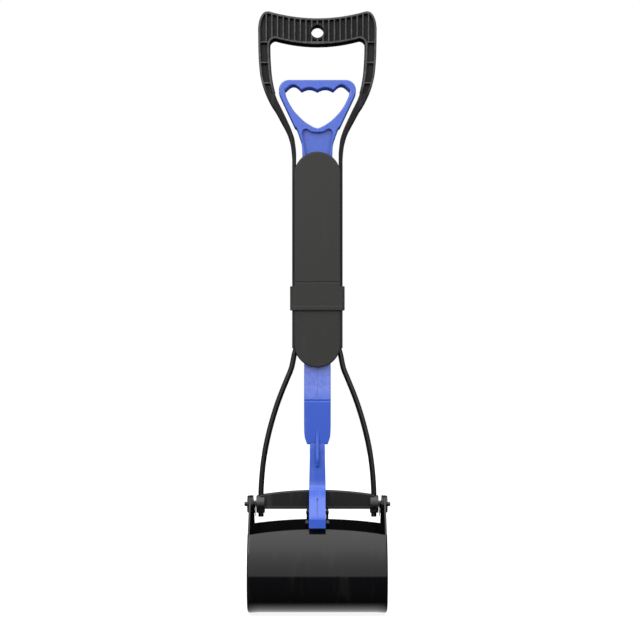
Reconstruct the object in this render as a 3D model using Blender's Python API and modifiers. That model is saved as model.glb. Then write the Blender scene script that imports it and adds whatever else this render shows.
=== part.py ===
"""Folding pooper scooper with a squeeze handle and two sprung jaws.

Units are metres. +Z is up, the front faces -Y and +X is to the right of someone who looks at the front.
The origin is at the bottom centre, where the closed jaws' lips meet.
"""
import math

import bmesh
import bpy
from mathutils import Euler, Matrix, Vector

# Fits
GAP = 0.0003          # between pieces that touch
RUNNING = 0.00015     # around a pin that turns
OVERRUN = 0.003       # how far a cutter passes a face

# Centre line, from the jaws' rims up: each height stands on the one before it
JAW_RIM_Z = 0.0840
PIVOT_ABOVE_RIM = 0.0200
COVER_ABOVE_PIVOT = 0.1368
FOLD_ABOVE_COVER_FOOT = 0.0617
COVER_ABOVE_FOLD = 0.1527

# Housing, covers and fold
HOUSING_HALF_WIDTH = 0.0251
HOUSING_HALF_DEPTH = 0.0085
HOUSING_BACK_WALL = 0.0020
HOUSING_EDGE = 0.0008
CHANNEL_HALF_WIDTH = 0.0160
GUIDE_WALL = 0.0026
RAIL_BELOW_FOLD = 0.0425
COVER_HALF_WIDTH = 0.0230
COVER_THICKNESS = 0.0022
COVER_BEVEL = 0.0014
ROUND_PROFILE = 0.5
HOUSING_BELOW_COVER_TOP = 0.0147
GROOVE_ABOVE_FOLD = 0.0230
COVER_GROOVE_WIDTH = 0.0020
COVER_GROOVE_DEPTH = 0.0004
GUIDE_INSET = 0.0010
FOLD_AXIS_BEHIND = 0.0005
KNUCKLE_RADIUS = 0.0030
KNUCKLE_WIDTH = 0.0025
KNUCKLE_INNER_X = 0.0150
KNUCKLE_WEB = 0.0060
FOLD_PIN_RADIUS = 0.0015

# Screws that hold the covers from behind
SCREW_X = 0.0206
SCREW_HEAD_RADIUS = 0.0028
SCREW_HEAD_HEIGHT = 0.0016
SCREW_SHANK_RADIUS = 0.0013
SCREW_TIP_COVER = 0.0020
POST_RADIUS = 0.0027
POST_LENGTH = 0.0060
UPPER_SCREW_SHARES = (0.28, 0.88)
LOWER_SCREW_BELOW = 0.0150

# D-grip
GRIP_HALF_WIDTH = 0.0590
GRIP_HALF_DEPTH = 0.0085
GRIP_HEIGHT = 0.0330
GRIP_DIP = 0.0070
GRIP_CORNER_X = 0.0486
GRIP_ABOVE_HANDLE = 0.0352
GRIP_UNDERSIDE_BOW = 0.0050
GRIP_UNDERSIDE_X = 0.0390
GRIP_OPENING_CORNER = 0.0060
GRIP_RIM = 0.0022
GRIP_WEB = 0.0075
GRIP_RIB = 0.0014
GRIP_RIB_PITCH = 0.00565
GRIP_CELLS = 18
SHOULDER_BELOW_TOP = 0.0170
ARM_ABOVE_HOUSING = 0.0095
ARM_INNER_HALF_WIDTH = 0.0476
ARM_FOOT_INNER_X = 0.0213
ARM_SOLID_HEIGHT = 0.0630
ARM_RIB_PITCH = 0.0203
HOLE_BELOW_TOP = 0.0200
HOLE_RADIUS = 0.0063
HOLE_BOSS_RADIUS = 0.0086

# Lock band
BAND_BELOW_FOLD = 0.0050
BAND_HEIGHT = 0.0240
BAND_WALL = 0.0017
BAND_BACK_CLEARANCE = 0.0009
BAND_POCKET_CLEARANCE = 0.0004
BAND_CORNER = 0.0025
BAND_EDGE = 0.0005

# Blue pull handle and its bar
HANDLE_HALF_WIDTH = 0.0383
HANDLE_HALF_DEPTH = 0.0083
HANDLE_HEIGHT = 0.0860
HANDLE_FOOT_HALF_WIDTH = 0.0150
HANDLE_CORNER = 0.0100
HANDLE_HOLE_BELOW_TOP = 0.0051
HANDLE_HOLE_HEIGHT = 0.0430
HANDLE_HOLE_HALF_WIDTH = 0.0321
SCALLOP_PITCH = 0.0158
SCALLOP_DEPTH = 0.0054
SCALLOP_INNER_DEPTH = 0.0026
HANDLE_POCKET_DEPTH = 0.0045
POCKET_BELOW_HOLE = 0.0007
HANDLE_POCKET_HALF_WIDTH = 0.0150
BAR_HALF_WIDTH = 0.0134
BAR_HALF_DEPTH = 0.0060
ROD_FRONT_DEPTH = 0.0040
ROD_RIDGE_DEPTH = 0.0090
ROD_KNUCKLE_HALF = 0.0080
ROD_TONGUE_HALF = 0.0038
ROD_WEB = 0.0080

# Side rods and spreader bar
ROD_RADIUS = 0.0027
ROD_TOP_X = 0.0216
ROD_BOTTOM_X = 0.0564
ROD_ABOVE_RAIL = 0.0190
ROD_BELOW_PIVOT = 0.0124
SPREADER_BELOW_PIVOT = 0.0044
SPREADER_HEIGHT = 0.0138
SPREADER_ARCH = 0.0044
SPREADER_HALF_DEPTH = 0.0045
DRUM_RADIUS = 0.0088
DRUM_INNER_X = 0.0526
DRUM_OUTER_X = 0.0609
HUB_RADIUS = 0.0026
WASHER_RADIUS = 0.0085
WASHER_THICKNESS = 0.0016
PIVOT_SCREW_HEAD_RADIUS = 0.0022
PIVOT_SCREW_HEAD_LENGTH = 0.0027
PIVOT_SCREW_SHANK_RADIUS = 0.0012
PIVOT_SCREW_DEPTH = 0.0080

# Torsion springs
SPRING_WIRE_RADIUS = 0.0004
SPRING_PITCH = 0.00122
SPRING_LEG = 0.0140
SPRING_SPLAY = math.radians(30)
SPRING_TURN_POINTS = 10

# Jaws
JAW_HALF_WIDTH = 0.0680
JAW_WALL = 0.0018
JAW_DEPTH = 0.0520
JAW_RIM_ARCH = 0.0050
JAW_CORNER = 0.0022
EAR_RADIUS = 0.0088
EAR_INSET = 0.00005
EAR_ROOT_Y = 0.0343
EAR_ROOT_DROP = 0.0010
EAR_FOOT_DROP = 0.0050

# Pivot of each leg of the rod on its jaw
STRAP_PIN_Y = 0.0355
PIN_DROP = 0.0136
STRAP_PIN_RADIUS = 0.0016
STRAP_PIN_END = 0.0005
STRAP_SLOT_CLEARANCE = 0.00035
JAW_OPENING = math.radians(45)
LUG_THICKNESS = 0.0025
LUG_CLEARANCE = 0.0005
LUG_RADIUS = 0.0036
LUG_DROP = 0.0134
EYE_WALL_HEIGHT = 0.0022
EYE_WALL_END = 0.0015

# Forked rod
FORK_THICKNESS = 0.0032
SHOULDER_ABOVE_PIVOT = 0.0600
SLOPE_ABOVE_SHOULDER = 0.0415
CROTCH_BELOW_SHOULDER = 0.0060
FORK_NECK_HALF_DEPTH = 0.0062
NECK_ABOVE_SHOULDER = 0.0020
FORK_SHOULDER_HALF = 0.0100
TAPER_HEIGHT = 0.0220
STRAP_TOP_HALF = 0.0074
STRAP_HALF_WIDTH = 0.0082
STRAP_WIDENING = 0.0400
FIN_HALF_WIDTH = 0.00175
FIN_HEIGHT = 0.0455
FIN_REACH = 0.0130

SMALL_SIDES = 16
LARGE_SIDES = 32
SMOOTH_ANGLE = math.radians(35)
CORNER_ANGLE = math.radians(60)
FLAT_ANGLE = math.radians(0.5)
MERGE = 0.00001

# Outline tables, as shares of the sizes that they follow
ARM_OUTER_SHARES = (
    (1.000, 1.000), (0.988, 0.805), (0.960, 0.687), (0.918, 0.609), (0.830, 0.531), (0.720, 0.463),
    (0.596, 0.401), (0.486, 0.357), (0.352, 0.291), (0.168, 0.200), (0.075, 0.128), (0.026, 0.058),
    (0.0, -0.019),
)
ARM_INNER_SHARES = (
    (1.000, 0.850), (0.989, 0.766), (0.945, 0.645), (0.862, 0.547), (0.742, 0.463), (0.604, 0.401),
    (0.497, 0.357), (0.246, 0.248), (0.140, 0.193), (0.058, 0.141), (0.016, 0.080), (0.0, 0.042),
)
GRIP_CORNER_SHARES = ((0.0, 0.0), (0.40, 0.05), (0.72, 0.28), (0.92, 0.62), (1.0, 1.0))
HANDLE_SIDE_SHARES = (
    (1.000, 0.863), (0.980, 0.834), (0.800, 0.726), (0.530, 0.572), (0.330, 0.459), (0.240, 0.433),
    (0.100, 0.328), (0.021, 0.252), (0.0, 0.144), (0.0, 0.0),
)
HANDLE_HOLE_SHARES = (
    (1.0, 0.885), (0.975, 0.76), (0.885, 0.60), (0.72, 0.40), (0.50, 0.225), (0.33, 0.12), (0.12, 0.03),
    (0.0, 0.0),
)
HANDLE_POCKET_SHARES = (
    (0.0, 0.85), (0.40, 0.875), (0.64, 0.97), (0.80, 0.99), (0.94, 0.93), (1.0, 0.80), (0.95, 0.60),
    (0.84, 0.20), (0.79, -0.10), (0.77, -0.52),
)
JAW_PROFILE_SHARES = (
    (0.665, 1.000), (0.777, 0.893), (0.891, 0.750), (0.963, 0.600), (0.992, 0.430), (0.963, 0.270),
    (0.880, 0.150), (0.735, 0.062), (0.560, 0.018), (0.380, 0.003), (0.180, 0.0),
)
ROD_SHARES = (
    (0.0, 1.0), (0.0, 0.95), (0.0, 0.905), (0.010, 0.885), (0.045, 0.862), (0.125, 0.792), (0.252, 0.733),
    (0.427, 0.653), (0.576, 0.575), (0.722, 0.483), (0.842, 0.389), (0.927, 0.296), (0.977, 0.205),
    (1.0, 0.125), (1.0, 0.06), (1.0, 0.0),
)
LEG_SHARES = (
    (0.127, 1.0), (0.160, 0.776), (0.193, 0.580), (0.226, 0.419), (0.303, 0.363), (0.550, 0.244),
    (0.825, 0.107), (0.949, 0.041), (0.99, 0.0),
)
FORK_TAPER_SHARES = ((1.0, 1.0), (0.95, 0.62), (0.75, 0.32), (0.0, 0.0))
LUG_SHARES = ((-1.08, 0.48), (-0.55, 1.0), (0.86, 1.0), (0.20, 0.66), (-0.15, 0.46))
FIN_SHARES = (
    (0.0, 1.0), (0.54, 1.0), (0.80, 0.60), (0.97, 0.28), (1.0, 0.17), (0.92, 0.06), (0.51, 0.0),
    (0.35, 0.39), (0.0, 0.39),
)

# Heights, each from what carries it
JAW_PIVOT_Z = JAW_RIM_Z + PIVOT_ABOVE_RIM
COVER_BOTTOM_Z = JAW_PIVOT_Z + COVER_ABOVE_PIVOT
FOLD_Z = COVER_BOTTOM_Z + FOLD_ABOVE_COVER_FOOT
COVER_TOP_Z = FOLD_Z + COVER_ABOVE_FOLD
COVER_GROOVE_Z = FOLD_Z + GROOVE_ABOVE_FOLD
RAIL_FOOT_Z = FOLD_Z - RAIL_BELOW_FOLD
HOUSING_TOP_Z = COVER_TOP_Z - HOUSING_BELOW_COVER_TOP
HANDLE_FOOT_Z = HOUSING_TOP_Z + GAP
HANDLE_TOP_Z = HANDLE_FOOT_Z + HANDLE_HEIGHT
HANDLE_HOLE_TOP_Z = HANDLE_TOP_Z - HANDLE_HOLE_BELOW_TOP
HANDLE_HOLE_BOTTOM_Z = HANDLE_HOLE_TOP_Z - HANDLE_HOLE_HEIGHT
HANDLE_POCKET_TOP_Z = HANDLE_HOLE_BOTTOM_Z - POCKET_BELOW_HOLE
GRIP_UNDERSIDE_Z = HANDLE_TOP_Z + GRIP_ABOVE_HANDLE
GRIP_TOP_Z = GRIP_UNDERSIDE_Z + GRIP_HEIGHT
HOLE_Z = GRIP_TOP_Z - HOLE_BELOW_TOP
ARM_SHOULDER_Z = GRIP_TOP_Z - SHOULDER_BELOW_TOP
ARM_TOP_RIB_Z = GRIP_UNDERSIDE_Z + GRIP_RIM
ARM_FOOT_Z = HOUSING_TOP_Z + ARM_ABOVE_HOUSING
ARM_CHANNEL_END_Z = ARM_FOOT_Z + ARM_SOLID_HEIGHT
ROD_TOP_Z = RAIL_FOOT_Z + ROD_ABOVE_RAIL
ROD_BOTTOM_Z = JAW_PIVOT_Z - ROD_BELOW_PIVOT
SPREADER_BOTTOM_Z = JAW_PIVOT_Z - SPREADER_BELOW_PIVOT
STRAP_PIN_Z = JAW_PIVOT_Z - PIN_DROP
EAR_ROOT_HEIGHT = JAW_RIM_Z - JAW_RIM_ARCH - EAR_ROOT_DROP
EAR_FOOT_HEIGHT = EAR_ROOT_HEIGHT - EAR_FOOT_DROP
FORK_SHOULDER_Z = JAW_PIVOT_Z + SHOULDER_ABOVE_PIVOT
FORK_SLOPE_Z = FORK_SHOULDER_Z + SLOPE_ABOVE_SHOULDER
FORK_NECK_Z = FORK_SHOULDER_Z + NECK_ABOVE_SHOULDER
FORK_CROTCH_Z = FORK_SHOULDER_Z - CROTCH_BELOW_SHOULDER
FORK_TAPER_Z = FORK_SHOULDER_Z + TAPER_HEIGHT
STRAP_WIDE_Z = FORK_SHOULDER_Z - STRAP_WIDENING
FIN_TOP_Z = FORK_TAPER_Z
FIN_FOOT_Z = FIN_TOP_Z - FIN_HEIGHT

# Sizes that follow from the ones above
FOLD_Y = HOUSING_HALF_DEPTH + FOLD_AXIS_BEHIND
HALF_SPLIT = GAP
OPENING_CORNER_X = ARM_INNER_HALF_WIDTH - GRIP_OPENING_CORNER
CHANNEL_BACK_Y = HOUSING_HALF_DEPTH - HOUSING_BACK_WALL
COVER_BACK_Y = -HOUSING_HALF_DEPTH - GAP
COVER_FRONT_Y = COVER_BACK_Y - COVER_THICKNESS
KNUCKLE_OUTER_X = KNUCKLE_INNER_X + KNUCKLE_WIDTH + GAP
POST_TIP_Y = COVER_BACK_Y + POST_LENGTH
SCREW_HEAD_SEAT_Y = HOUSING_HALF_DEPTH - SCREW_HEAD_HEIGHT - GAP
BAND_BOTTOM_Z = FOLD_Z - BAND_BELOW_FOLD
SLOT_HALF_WIDTH = ROD_KNUCKLE_HALF + LUG_CLEARANCE
PIN_SWING = math.hypot(STRAP_PIN_Y, PIN_DROP)
PIN_OPEN_Y = STRAP_PIN_Y * math.cos(JAW_OPENING) + PIN_DROP * math.sin(JAW_OPENING)
PULL_TRAVEL = STRAP_PIN_Y * math.sin(JAW_OPENING) + PIN_DROP * (1 - math.cos(JAW_OPENING))
SLOT_RADIUS = STRAP_PIN_RADIUS + STRAP_SLOT_CLEARANCE
SLOT_INNER_Y = min(STRAP_PIN_Y, PIN_OPEN_Y) - RUNNING
SLOT_OUTER_Y = PIN_SWING + RUNNING
EYE_INNER_Y = SLOT_INNER_Y - SLOT_RADIUS - EYE_WALL_END
EYE_OUTER_Y = SLOT_OUTER_Y + SLOT_RADIUS + EYE_WALL_END
EYE_HALF_HEIGHT = SLOT_RADIUS + EYE_WALL_HEIGHT
EYE_MIDDLE_Y = (EYE_INNER_Y + EYE_OUTER_Y) / 2
LUG_INNER_X = STRAP_HALF_WIDTH + LUG_CLEARANCE
LUG_OUTER_X = LUG_INNER_X + LUG_THICKNESS
FRONT_WALL_X = JAW_HALF_WIDTH - JAW_WALL
REAR_HALF_WIDTH = FRONT_WALL_X - GAP
WASHER_X = JAW_HALF_WIDTH + GAP
HUB_END_X = JAW_HALF_WIDTH
SPRING_ROOM = REAR_HALF_WIDTH - JAW_WALL - DRUM_OUTER_X


def clear_scene():
    """Remove every object, so that the part starts from nothing."""
    for old in list(bpy.data.objects):
        bpy.data.objects.remove(old, do_unlink=True)


def new_collection(name):
    """Return a collection of this name in the scene."""
    made = bpy.data.collections.new(name)
    bpy.context.scene.collection.children.link(made)
    return made


def new_material(name, colour, roughness, metallic=0.0):
    """Return a Principled material."""
    made = bpy.data.materials.new(name)
    made.use_nodes = True
    shader = made.node_tree.nodes["Principled BSDF"]
    shader.inputs["Base Color"].default_value = (*colour, 1.0)
    shader.inputs["Roughness"].default_value = roughness
    shader.inputs["Metallic"].default_value = metallic
    return made


clear_scene()
PARTS = new_collection("pooper_scooper")
CUTTERS = new_collection("cutters")
BLACK_SATIN = new_material("black_satin_plastic", (0.012, 0.012, 0.013), 0.38)
BLACK_MATTE = new_material("dark_grey_matte_plastic", (0.045, 0.045, 0.046), 0.62)
BLACK_GLOSS = new_material("black_gloss_plastic", (0.008, 0.008, 0.009), 0.12)
BLUE = new_material("blue_plastic", (0.075, 0.13, 0.62), 0.34)
BLACK_STEEL = new_material("black_coated_steel", (0.012, 0.012, 0.013), 0.28)
STEEL = new_material("steel", (0.42, 0.42, 0.43), 0.35, 1.0)

# Directions of an outline: its own X and Y in the world, as a rotation
FRONT_VIEW = Euler((math.pi / 2, 0, 0))
SIDE_VIEW = Euler((math.pi / 2, 0, math.pi / 2))
TOP_VIEW = Euler((0, 0, 0))
ALONG_X = Euler((0, math.pi / 2, 0))
ALONG_Y = Euler((math.pi / 2, 0, 0))
ALONG_Z = Euler((0, 0, 0))


def smooth_line(points, steps=4):
    """Return a Catmull-Rom curve through the points, with this many steps between two of them."""
    ends = [points[0]] + list(points) + [points[-1]]
    line = []
    for a, b, c, d in zip(ends, ends[1:], ends[2:], ends[3:]):
        for step in range(steps):
            t = step / steps
            line.append(tuple(
                q + t * (r - p + t * (2 * p - 5 * q + 4 * r - s + t * (3 * q - p - 3 * r + s))) / 2
                for p, q, r, s in zip(a, b, c, d)))
    line.append(tuple(points[-1]))
    return line


def arc(centre, radius, start, end, steps):
    """Return points on an arc, angles in degrees."""
    angles = [math.radians(start + (end - start) * step / steps) for step in range(steps + 1)]
    return [(centre[0] + radius * math.cos(a), centre[1] + radius * math.sin(a)) for a in angles]


def offset_line(line, distance):
    """Return a line moved sideways by a distance, to its left as it runs."""
    moved = []
    for index, (x, z) in enumerate(line):
        before = line[max(index - 1, 0)]
        after = line[min(index + 1, len(line) - 1)]
        along = Vector((after[0] - before[0], after[1] - before[1])).normalized()
        moved.append((x - along.y * distance, z + along.x * distance))
    return moved


def mirrored(half):
    """Return a closed outline from the half at +X, listed from the top down."""
    other = [(-x, z) for x, z in reversed(half) if abs(x) > MERGE]
    return list(half) + other


def between(shares, x_from, x_to, z_from, z_to):
    """Place a table of shares between two X values and two Z values."""
    return [(x_from + (x_to - x_from) * a, z_from + (z_to - z_from) * b) for a, b in shares]


def across(line, height):
    """Return the X of a line of points at a height."""
    for (x0, z0), (x1, z1) in zip(line, line[1:]):
        if min(z0, z1) <= height <= max(z0, z1) and z0 != z1:
            return x0 + (x1 - x0) * (height - z0) / (z1 - z0)
    return line[-1][0] if height < line[-1][1] else line[0][0]


def height_at(line, x):
    """Return the height where a line of points first reaches an X."""
    for (x0, z0), (x1, z1) in zip(line, line[1:]):
        if min(x0, x1) <= x <= max(x0, x1) and x0 != x1:
            return z0 + (z1 - z0) * (x - x0) / (x1 - x0)
    return line[0][1]


def bake(source, name, flat=True):
    """Turn a curve or profile into a welded mesh object in world coordinates; flat joins coplanar faces."""
    bpy.context.view_layer.update()
    evaluated = source.evaluated_get(bpy.context.evaluated_depsgraph_get())
    mesh = bpy.data.meshes.new_from_object(evaluated)
    mesh.transform(source.matrix_world)
    bpy.data.objects.remove(source, do_unlink=True)
    work = bmesh.new()
    work.from_mesh(mesh)
    bmesh.ops.remove_doubles(work, verts=work.verts, dist=MERGE)
    if flat:
        bmesh.ops.dissolve_limit(work, angle_limit=FLAT_ANGLE, verts=work.verts, edges=work.edges)
    bmesh.ops.recalc_face_normals(work, faces=work.faces)
    work.to_mesh(mesh)
    work.free()
    mesh.name = name
    return bpy.data.objects.new(name, mesh)


def plate(name, loops, low, high, view=FRONT_VIEW):
    """Make a plate from closed outlines, from low to high along the view's direction."""
    curve = bpy.data.curves.new(name, "CURVE")
    curve.dimensions = "2D"
    curve.fill_mode = "BOTH"
    curve.extrude = (high - low) / 2
    for loop in loops:
        spline = curve.splines.new("POLY")
        spline.points.add(len(loop) - 1)
        for point, place in zip(spline.points, loop):
            point.co = (*place, 0, 1)
        spline.use_cyclic_u = True
    source = bpy.data.objects.new(name + "_outline", curve)
    CUTTERS.objects.link(source)
    source.rotation_euler = view
    middle = (low + high) / 2
    direction = Vector((0, 0, 1))
    direction.rotate(view)
    source.location = [abs(part) * middle for part in direction]
    made = bake(source, name)
    CUTTERS.objects.link(made)
    return made


def cylinder(name, centre, radius, length, turn, sides=SMALL_SIDES):
    """Make a cylinder about its centre."""
    mesh = bpy.data.meshes.new(name)
    work = bmesh.new()
    bmesh.ops.create_cone(work, cap_ends=True, segments=sides, radius1=radius, radius2=radius, depth=length)
    work.to_mesh(mesh)
    work.free()
    mesh.transform(turn.to_matrix().to_4x4())
    mesh.transform(Matrix.Translation(centre))
    made = bpy.data.objects.new(name, mesh)
    CUTTERS.objects.link(made)
    return made


def box(name, low, high):
    """Make a box from its low corner to its high corner."""
    mesh = bpy.data.meshes.new(name)
    work = bmesh.new()
    bmesh.ops.create_cube(work, size=1.0)
    for vertex in work.verts:
        vertex.co = [a + (b - a) * (part + 0.5) for a, b, part in zip(low, high, vertex.co)]
    work.to_mesh(mesh)
    work.free()
    made = bpy.data.objects.new(name, mesh)
    CUTTERS.objects.link(made)
    return made


def tube(name, points, radius, resolution):
    """Make a round tube with closed ends along points."""
    curve = bpy.data.curves.new(name, "CURVE")
    curve.dimensions = "3D"
    curve.bevel_depth = radius
    curve.bevel_resolution = resolution
    curve.use_fill_caps = True
    spline = curve.splines.new("POLY")
    spline.points.add(len(points) - 1)
    for point, place in zip(spline.points, points):
        point.co = (*place, 1)
    source = bpy.data.objects.new(name + "_path", curve)
    CUTTERS.objects.link(source)
    made = bake(source, name, flat=False)
    CUTTERS.objects.link(made)
    return made


def turned(name, profile, start, turn, sides=24):
    """Turn a profile of (radius, height) pairs, listed from the top down, about its own Z."""
    mesh = bpy.data.meshes.new(name)
    mesh.from_pydata([(radius, 0, height) for radius, height in profile],
                     [(index, index + 1) for index in range(len(profile) - 1)], [])
    source = bpy.data.objects.new(name + "_profile", mesh)
    CUTTERS.objects.link(source)
    screw = source.modifiers.new("turn", "SCREW")
    screw.steps = sides
    screw.render_steps = sides
    screw.use_merge_vertices = True
    screw.merge_threshold = MERGE
    source.rotation_euler = turn
    source.location = start
    made = bake(source, name, flat=False)
    CUTTERS.objects.link(made)
    return made


def change(target, tools, operation):
    """Add a Boolean to the target for each tool, and hide the tools."""
    for tool in tools:
        modifier = target.modifiers.new(tool.name, "BOOLEAN")
        modifier.operation = operation
        modifier.solver = "EXACT"
        modifier.object = tool
        tool.hide_render = True
        tool.display_type = "WIRE"


def cut(target, *tools):
    """Cut the tools out of the target."""
    change(target, tools, "DIFFERENCE")


def join(target, *tools):
    """Fuse the tools to the target."""
    change(target, tools, "UNION")


def bevel(target, width, segments, angle=SMOOTH_ANGLE, clamp=True):
    """Round the edges of the target that are sharper than an angle."""
    modifier = target.modifiers.new("edges", "BEVEL")
    modifier.width = width
    modifier.segments = segments
    modifier.use_clamp_overlap = clamp
    modifier.limit_method = "ANGLE"
    modifier.angle_limit = angle


def new_body(name, place):
    """Return the empty that carries a moving body's pieces, on its joint's axis."""
    made = bpy.data.objects.new(name, None)
    made.location = place
    made.empty_display_size = KNUCKLE_RADIUS
    PARTS.objects.link(made)
    bpy.context.view_layer.update()
    return made


def finish(piece, name, material, body=None):
    """Name a piece, give it its material and hang it on its body."""
    piece.name = name
    piece.data.name = name
    piece.data.materials.clear()
    piece.data.materials.append(material)
    CUTTERS.objects.unlink(piece)
    PARTS.objects.link(piece)
    piece.data.shade_smooth()
    piece.data.set_sharp_from_angle(angle=SMOOTH_ANGLE)
    if body is not None:
        piece.parent = body
        piece.matrix_parent_inverse = body.matrix_world.inverted()
    return piece


def both_sides(low, high):
    """Return a range and its mirror image."""
    return ((low, high), (-high, -low))


# Bodies: the upper frame carries all the others
FOLD_BODY = new_body("fold_axis", (0, FOLD_Y, FOLD_Z))
BAND_BODY = new_body("band_slide", (0, 0, FOLD_Z))
PULL_BODY = new_body("pull_slide", (0, 0, FOLD_Z))
ROD_BODY = new_body("rod_slide", (0, 0, FOLD_Z))
FRONT_JAW_BODY = new_body("front_jaw_axis", (0, 0, JAW_PIVOT_Z))
REAR_JAW_BODY = new_body("rear_jaw_axis", (0, 0, JAW_PIVOT_Z))


# Fold of the housing and of the blue rod

def knuckle(name, x_low, x_high, side, web, root_y, back_y):
    """Make one knuckle with its web; side is +1 above the fold and -1 below it."""
    outline = [(root_y, FOLD_Z + side * web), (back_y, FOLD_Z + side * web)]
    outline += arc((FOLD_Y, FOLD_Z), KNUCKLE_RADIUS, side * 10, side * -180, 14)
    outline += [(root_y, FOLD_Z + side * HALF_SPLIT)]
    return plate(name, [outline], x_low, x_high, SIDE_VIEW)


def fold_cylinder(name, x_low, x_high, radius):
    """Make a cylinder on the fold's axis."""
    return cylinder(name, ((x_low + x_high) / 2, FOLD_Y, FOLD_Z), radius, x_high - x_low, ALONG_X)


def add_housing_fold(housing, side):
    """Give a half of the housing its two knuckles, and room for the other half's."""
    inner = (KNUCKLE_INNER_X, KNUCKLE_INNER_X + KNUCKLE_WIDTH)
    outer = (KNUCKLE_OUTER_X, KNUCKLE_OUTER_X + KNUCKLE_WIDTH)
    own, other = (outer, inner) if side > 0 else (inner, outer)
    for low, high in both_sides(*other):
        cut(housing, fold_cylinder("knuckle_room", low - GAP, high + GAP, KNUCKLE_RADIUS + GAP))
    for low, high in both_sides(*own):
        join(housing, knuckle("housing_knuckle", low, high, side, KNUCKLE_WEB,
                              FOLD_Y - KNUCKLE_RADIUS, HOUSING_HALF_DEPTH))
    for low, high in both_sides(inner[0] - OVERRUN, outer[1] + OVERRUN):
        cut(housing, fold_cylinder("fold_pin_hole", low, high, FOLD_PIN_RADIUS + RUNNING))


def make_fold_pins():
    """Make the two short pins of the housing's hinge."""
    low = KNUCKLE_INNER_X
    high = KNUCKLE_OUTER_X + KNUCKLE_WIDTH
    for name, (start, end) in zip(("fold_pin_right", "fold_pin_left"), both_sides(low, high)):
        finish(fold_cylinder(name, start, end, FOLD_PIN_RADIUS), name, STEEL)


# Screws and posts

def screw_places(half):
    """Return X and Z of the screws in the upper or the lower half of the housing."""
    if half == "upper":
        heights = [FOLD_Z + share * (HOUSING_TOP_Z - FOLD_Z) for share in UPPER_SCREW_SHARES]
    else:
        heights = [FOLD_Z - LOWER_SCREW_BELOW]
    return [(side * SCREW_X, height) for height in heights for side in (-1, 1)]


def cut_screw_holes(housing, half):
    """Cut the posts' holes, the shanks' holes and the heads' seats through a housing half."""
    for x, z in screw_places(half):
        post_end = POST_TIP_Y + GAP
        cut(housing,
            cylinder("post_hole", (x, (post_end - HOUSING_HALF_DEPTH - OVERRUN) / 2, z), POST_RADIUS + GAP,
                     post_end + HOUSING_HALF_DEPTH + OVERRUN, ALONG_Y),
            cylinder("shank_hole", (x, 0, z), SCREW_SHANK_RADIUS + GAP, 2 * HOUSING_HALF_DEPTH, ALONG_Y),
            cylinder("head_seat", (x, (SCREW_HEAD_SEAT_Y + HOUSING_HALF_DEPTH + OVERRUN) / 2, z),
                     SCREW_HEAD_RADIUS + GAP, HOUSING_HALF_DEPTH + OVERRUN - SCREW_HEAD_SEAT_Y, ALONG_Y))


def add_posts(cover, half):
    """Give a cover its screw posts."""
    for x, z in screw_places(half):
        root_y = COVER_BACK_Y - COVER_THICKNESS / 2
        join(cover, cylinder("post", (x, (root_y + POST_TIP_Y) / 2, z), POST_RADIUS,
                             POST_TIP_Y - root_y, ALONG_Y))
        cut(cover, cylinder("post_bore", (x, (COVER_BACK_Y + POST_TIP_Y + OVERRUN) / 2, z),
                            SCREW_SHANK_RADIUS + GAP, POST_TIP_Y + OVERRUN - COVER_BACK_Y, ALONG_Y))


def make_screws(half, body):
    """Make the screws of one half, head at the back."""
    head_y = SCREW_HEAD_SEAT_Y + GAP
    tip_y = COVER_BACK_Y + SCREW_TIP_COVER
    profile = [
        (0, SCREW_HEAD_HEIGHT), (SCREW_HEAD_RADIUS, SCREW_HEAD_HEIGHT), (SCREW_HEAD_RADIUS, 0),
        (SCREW_SHANK_RADIUS, 0), (SCREW_SHANK_RADIUS, tip_y - head_y), (0, tip_y - head_y),
    ]
    for index, (x, z) in enumerate(screw_places(half)):
        name = f"{half}_screw_{index + 1}"
        finish(turned(name, profile, (x, head_y, z), Euler((-math.pi / 2, 0, 0)), 16), name, STEEL, body)


# Upper frame

def arm_outer():
    """Return the outer edge of the right arm, from the shoulder down."""
    return smooth_line(between(ARM_OUTER_SHARES, HOUSING_HALF_WIDTH, GRIP_HALF_WIDTH,
                               ARM_FOOT_Z, ARM_SHOULDER_Z), 3)


def arm_inner():
    """Return the inner edge of the right arm, from the shoulder down."""
    line = smooth_line(between(ARM_INNER_SHARES, ARM_FOOT_INNER_X, ARM_INNER_HALF_WIDTH,
                               ARM_FOOT_Z, ARM_SHOULDER_Z), 3)
    return [point for point in line if point[1] > HOUSING_TOP_Z]


def grip_top(x):
    """Return the height of the D-grip's hollow top edge."""
    return GRIP_TOP_Z - GRIP_DIP * (1 - (x / GRIP_CORNER_X) ** 2)


def grip_outline():
    """Return the right half of the D-grip's outer edge, from the middle of its top to the arm's foot."""
    line = [(GRIP_CORNER_X * step / 6, grip_top(GRIP_CORNER_X * step / 6)) for step in range(6)]
    line += between(GRIP_CORNER_SHARES, GRIP_CORNER_X, GRIP_HALF_WIDTH, GRIP_TOP_Z, ARM_SHOULDER_Z)
    return line + arm_outer()[1:]


def grip_underside(x):
    """Return the height of the D-grip's bowed underside."""
    return GRIP_UNDERSIDE_Z + GRIP_UNDERSIDE_BOW * (x / GRIP_UNDERSIDE_X) ** 2


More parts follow.
